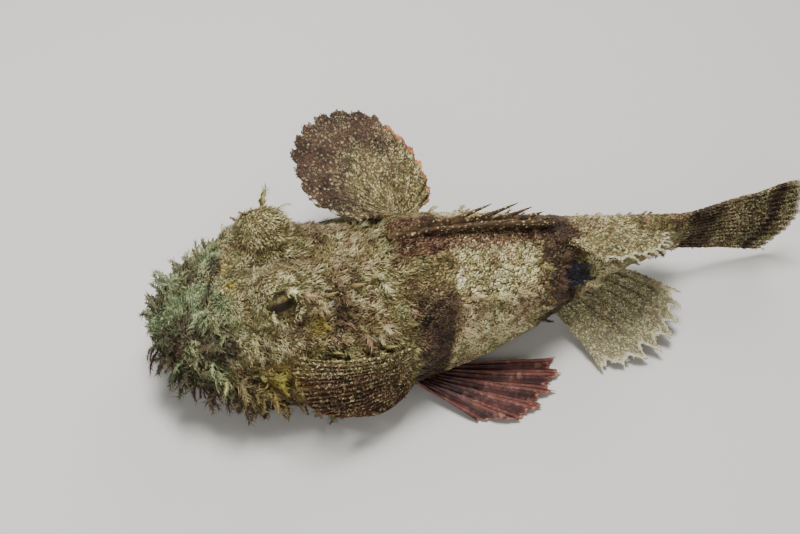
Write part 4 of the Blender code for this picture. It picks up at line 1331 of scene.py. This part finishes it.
def finRoots(name, facts, u, v, grid, normal, half):
    # roots of short locks on both faces of a fin, by area
    across, onward = np.gradient(grid, axis=0), np.gradient(grid, axis=1)
    area = np.linalg.norm(np.cross(across, onward), axis=-1) * (v > 0.06)
    across, flow, onward = across.reshape(-1, 3), unit(onward).reshape(-1, 3), onward.reshape(-1, 3)
    number = list(fins).index(name)
    for face in (1, -1):
        count = int(area.sum() * finTurf["perMetre"])
        picked = rng.choice(area.size, count, p=(area / area.sum()).ravel())
        nudge = rng.random((count, 2)) - 0.5
        roots = grid.reshape(-1, 3)[picked] + across[picked] * nudge[:, :1] + onward[picked] * nudge[:, 1:]
        normals = normal.reshape(-1, 3)[picked] * face
        roots = roots + normals * half.reshape(-1)[picked][:, None]
        uu, vv = u.ravel()[picked], v.ravel()[picked]
        marks, hues = finMarks(facts, uu, vv, roots)
        # in the bake's map each fin has a column, and its two faces lie one over the other
        place = np.stack([(number + 0.06 + 0.88 * uu) / len(fins), 0.25 + 0.25 * face + 0.03 + 0.44 * vv], -1)
        finTurf["kept"].append((roots, normals, flow[picked], marks, hues, place, vv))


def makeFinTurf():
    roots, normals, lie, marks, hues, places, v = (np.concatenate(column) for column in zip(*finTurf["kept"]))
    count = len(roots)
    lie = lie + rng.normal(0, 0.45, lie.shape)
    lie = unit(lie - normals * (lie * normals).sum(-1, keepdims=True))
    low, high = finTurf["length"]
    length = (low + (high - low) * rng.random(count) ** 1.5) * (1.1 - 0.4 * v)
    width = finTurf["width"] * (0.7 + 0.7 * rng.random(count))
    tint = tintOf(roots, 7, 3)
    for k, some in enumerate(np.array_split(np.arange(count), 2)):
        own = [values[some] for values in (roots, normals, lie, length, width)]
        points, faces, spread = locks(*own, 0.35, 0.7)
        name, marked = "fin_turf_" + str(k + 1), (marks[some], hues[some])
        finishCoat(name, points, faces, spread, roots[some], tint[some], marked, places[some])
    print("fin turf", count, "locks")


def pelvicFinish():
    # thin wet skin over horny rays, with painted highlight along the rays' ridges and painted shade on the
    # web between them
    made, tree, shader = newMaterial("smooth_fin_skin")
    place = addNode(tree, "ShaderNodeTexCoord").outputs["Object"]
    part = amounts(tree, {"span": ("across", "along", "ray", "between")})
    broad = {"Vector": place, "Scale": 170, "Detail": 5, "Roughness": 0.65}                # 6 mm blotches
    broad = addNode(tree, "ShaderNodeTexNoise", {}, broad)
    grains = addNode(tree, "ShaderNodeTexVoronoi", {}, {"Vector": place, "Scale": 520})    # 2 mm spots
    luck = addNode(tree, "ShaderNodeSeparateColor", {}, {0: grains.outputs["Color"]}).outputs
    # the rays' lighter colour is painted highlight, and the darkest web between them is painted shade
    colour = layered(tree, luck[1], "#351815", [
        (broad.outputs[0], 0.38, 0.62, 1, "#61332c"), (part["ray"], 0.3, 1.0, 0.5, "#7a4638"),
        (luck[0], 0.92, 0.97, 0.4, ("#8a5f48", "#a88468")), (part["ray"], 0.25, 0.0, 0.5, "#2c1311"),
        (part["along"], 0.972, 0.988, 0.6, ("#6e372a", "#cf8a70")),
    ])
    tree.links.new(colour, shader.inputs["Base Color"])
    bump = {"Strength": 0.5, "Distance": 0.0004, "Height": grains.outputs["Distance"]}
    bump = addNode(tree, "ShaderNodeBump", {"invert": True}, bump)
    tree.links.new(bump.outputs[0], shader.inputs["Normal"])
    setSockets(shader, {"Roughness": 0.5, "Subsurface Weight": 0.06, "Subsurface Scale": 0.001})
    return made


def tips(start, first, last, strength):
    # colour that begins at a share of the way to the tips, on the rays from first to last
    def shade(u, v):
        among = ease((u - first) / 0.08 + 0.5), ease((last - u) / 0.08 + 0.5)
        return ease((v - start) / 0.04) * among[0] * among[1] * strength
    return shade


def outer(start, fade, first, spread, last, strength):
    # an amount that grows from a share of the way out, on the rays from first to last
    def shade(u, v):
        return ease((v - start) / fade) * ease((u - first) / spread) * ease((last - u) / 0.1) * strength
    return shade


def whiteTips(u, v):
    # on every ray at the end of the raised fin
    ray = ease(2 * np.cos(36 * np.pi * u) - 1)
    return ease((v - 0.95) / 0.03) * ease((u - 0.84) / 0.05) * ray * 0.7


# Bars: how far out, their reach, their strength and the share of the rays where they begin
looks = {
    "pectoral_fin_right": {
        "pale": 0.62, "dark": 0.32, "green": 0.05, "warm": 0.08, "lines": 0.35, "turf": True,
        "bars": (
            (0.58, 0.05, 0.75, 0.45), (0.76, 0.05, 0.85, 0.35),
            (0.92, 0.04, 0.70, 0.30), (0.34, 0.06, 0.45, 0.0),
        ),
        # its shade is painted shade over the outer part of the raised fin
        "maroon": outer(0.50, 0.20, 0.25, 0.2, 0.95, 0.55), "shade": outer(0.40, 0.40, 0.20, 0.25, 1.0, 0.50),
        "coral": tips(0.92, -1.0, 0.34, 0.8), "white": whiteTips,
    },
    "pectoral_fin_left": {
        "pale": 0.70, "dark": 0.38, "green": 0.0, "warm": 0.10, "lines": 0.5, "turf": True,
        "bars": ((0.35, 0.07, 0.6, 0.10), (0.62, 0.07, 0.7, 0.10)),
        # reddish brown growing over the lower rays that hang toward the floor: partly the fin's own colour,
        # partly painted shade
        "maroon": lambda u, v: ease((u - 0.16) / 0.12) * (0.45 + 0.4 * v),
        "coral": tips(0.96, 0.1, 2.0, 0.15), "white": none,
    },
    "dorsal_fin_soft": {
        "pale": 1.0, "dark": 0.10, "green": 0.14, "warm": 0.05, "lines": 0.15, "turf": True,
        "bars": ((0.38, 0.08, 0.30, -1.0), (0.75, 0.07, 0.35, -1.0)), "maroon": none, "coral": none,
        "white": tips(0.95, -1.0, 2.0, 0.6),
    },
    "anal_fin": {
        "pale": 1.0, "dark": 0.05, "green": 0.15, "warm": 0.0, "lines": 0.12, "turf": True,
        "bars": ((0.30, 0.08, 0.25, -1.0), (0.70, 0.07, 0.35, -1.0)), "maroon": none, "coral": none,
        "white": lambda u, v: ease((v - 0.94) / 0.04) * 0.4 + 0.22,
    },
    "caudal_fin": {
        "pale": 0.80, "dark": 0.50, "green": 0.0, "warm": 0.0, "lines": 1.0, "turf": True,
        "bars": ((0.22, 0.16, 1.0, -1.0), (0.82, 0.08, 1.0, -1.0)), "maroon": none, "coral": none,
        "white": tips(0.95, -1.0, 2.0, 0.5),
    },
    "pelvic_fin_left": {"turf": False},
    "pelvic_fin_right": {"turf": False},
}
smoothFinish = pelvicFinish()

for finName, facts in fins.items():
    facts.update(looks[finName])
    finPiece(finName, facts, skinFinish if facts["turf"] else smoothFinish)
makeFinTurf()
print("fins")


# Spines of the back, folded down over a low fleshy web

backSpines = {
    "count": 12,
    "first": 0.388,        # share of the length where the first spine stands
    "apart": 0.268,        # and from there to the last
    "lengths": (
        (0.0, 0.060), (0.1, 0.095), (0.2, 0.125), (0.4, 0.125),
        (0.6, 0.100), (0.8, 0.072), (0.9, 0.050), (1.0, 0.030),
    ),
    "lean": 9,             # degrees to the left and right by turns
    "rise": 9,             # degrees above the back's own slope
    "steepest": 7,         # and above the level at most
    "taper": ((-0.3, 0.0013), (0.0, 0.00135), (0.3, 0.0011), (0.6, 0.0008), (0.85, 0.00045), (1.0, 0.0001)),
}
web = {
    "from": 0.380,
    "reach": 0.292,
    "heights": ((0, 0.0012), (0.15, 0.0040), (0.6, 0.0046), (0.85, 0.0034), (1, 0.0012)),
    "scallop": 0.0012,     # height of its scallops
    "sunk": 0.0022,        # how deep it reaches into the back
    "steps": 240,
    "around": 16,
}


def makeWeb():
    # a low ridge of skin along the back, scalloped between the spines
    turn = np.linspace(0, 2 * np.pi, web["around"], endpoint=False)
    shape = np.maximum(np.sin(turn), -0.5)
    half = np.cos(turn) * np.where(shape > 0, 0.0019 * (1 - 0.65 * shape), 0.0021)
    rows = []
    for k in range(web["steps"] + 1):
        t = k / web["steps"]
        share = web["from"] + web["reach"] * t
        scallop = abs(math.sin(t * math.pi * backSpines["count"]))
        tall = float(smoothCurve(web["heights"], t)) + web["scallop"] * scallop
        y = half + 0.0005 * math.sin(t * 40) * shape.clip(0)
        z = float(smoothCurve(outline["back"], share)) * fish["length"] - web["sunk"]
        z = z + (tall + web["sunk"]) * shape.clip(-0.6)
        rows.append(np.stack([turn * 0 + along(share), y, z], -1))
    rows = np.stack(rows)
    return roundBody("dorsal_web", rows, rows[0].mean(0), rows[-1].mean(0))


def makeBackSpine(i):
    u = i / (backSpines["count"] - 1)
    share = backSpines["first"] + backSpines["apart"] * u
    root = np.array([along(share), 0, float(smoothCurve(outline["back"], share)) * fish["length"] + 0.0008])
    behind, ahead = smoothCurve(outline["back"], [share + 0.02, share - 0.02])
    slope = math.degrees(math.atan2(behind - ahead, 0.04))
    rise = math.radians(min(backSpines["steepest"], slope + backSpines["rise"]))
    lean = math.radians(backSpines["lean"] * (-1) ** i)
    aim = unit(np.array([math.cos(rise) * math.cos(lean), math.sin(lean), math.sin(rise)]))
    length = float(smoothCurve(backSpines["lengths"], u)) * fish["length"]
    return cone(root, aim, [(length * far, size) for far, size in backSpines["taper"]], 12)


def makeSpinyFin():
    # web and spines as one piece, pale and dark in clouds like the skin, and reddish
    fin = makeWeb()
    spines = [makeBackSpine(i) for i in range(backSpines["count"])]
    joined = bmesh.new()
    for part in [fin] + spines:
        joined.from_mesh(part.data)
    joined.to_mesh(fin.data)
    joined.free()
    for part in spines:
        bpy.data.objects.remove(part)
    points = pointsOf(fin)
    height = (points[:, 2] - heightOf("back", shareOf(points[:, 0]))) / 0.012
    tone = clouds(points, 0.006, 151)
    marks = [tone * 0.45, 0.5 - height * 0.3, tone * 0, tone * 0.1]
    hues = [0.75 - 0.4 * tone, tone * 0, tone * 0, tone * 0]
    setValues(fin, "markings", np.clip(np.stack(marks, -1), 0, 1))
    setValues(fin, "blush", np.clip(np.stack(hues, -1), 0, 1))
    setPoints(fin, bend(points))
    smoothShade(fin, 50)
    fin.data.materials.append(skinFinish)
    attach(fin, "root")
    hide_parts("dorsal_fin_spiny")


makeSpinyFin()
print("spiny fin")

for piece in [o for o in bpy.data.objects if o.type == "MESH" and "OFBake" in o.data.uv_layers]:
    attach(piece, "root")
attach(skin, "root")
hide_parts("head", "lower_jaw", "trunk", "tail")


# Floor, light and the photo's camera

studio = {
    "floor": "#cfcdc8",
    "air": "#e8e6e0",
    "airStrength": 0.32,
    "aimedAt": (0.02, 0, 0.02),
    # each lamp's name, place, size in metres and watts
    "lamps": (
        ("key", (-0.12, 0.08, 0.90), 0.30, 11.5), ("fill", (-0.5, -0.75, 0.45), 0.6, 4.2),
        ("rim", (0.5, 0.6, 0.6), 0.5, 3.0),
    ),
}
view = {
    "azimuth": -26,       # degrees from the fish's left side, toward its nose
    "elevation": 47,
    "roll": 12,
    "distance": 0.425,
    "target": (0.0082, 0.0108, 0.0321),
    "lens": 50,           # millimetres, on a 36 mm sensor
}


def makeStage():
    floor = makeMesh("floor", [(-3, -3, 0), (3, -3, 0), (3, 3, 0), (-3, 3, 0)], [(0, 1, 2, 3)])
    made, _, shader = newMaterial("pale_matt_floor")
    setSockets(shader, {"Base Color": linear(studio["floor"]), "Roughness": 0.9})
    floor.data.materials.append(made)
    world = bpy.data.worlds.new("studio")
    world.use_nodes = True
    setSockets(world.node_tree.nodes["Background"], {0: linear(studio["air"]), 1: studio["airStrength"]})
    bpy.context.scene.world = world
    for name, place, size, power in studio["lamps"]:
        light = bpy.data.lights.new(name, "AREA")
        light.size = size
        light.energy = power
        lamp = newObject(name, light)
        lamp.location = place
        lamp.rotation_euler = (Vector(studio["aimedAt"]) - Vector(place)).to_track_quat("-Z", "Y").to_euler()


def makeCamera():
    azimuth, elevation, roll = (math.radians(view[k]) for k in ("azimuth", "elevation", "roll"))
    level = math.cos(elevation)
    back = Vector((math.sin(azimuth) * level, -math.cos(azimuth) * level, math.sin(elevation)))
    data = bpy.data.cameras.new("camera")
    data.lens = view["lens"]
    data.sensor_width = 36
    data.clip_start = 0.01
    camera = newObject("camera", data)
    turn = back.to_track_quat("Z", "Y").to_matrix().to_4x4()
    place = Matrix.Translation(Vector(view["target"]) + back * view["distance"])
    camera.matrix_world = place @ turn @ Matrix.Rotation(roll, 4, "Z")
    bpy.context.scene.camera = camera


makeStage()
makeCamera()
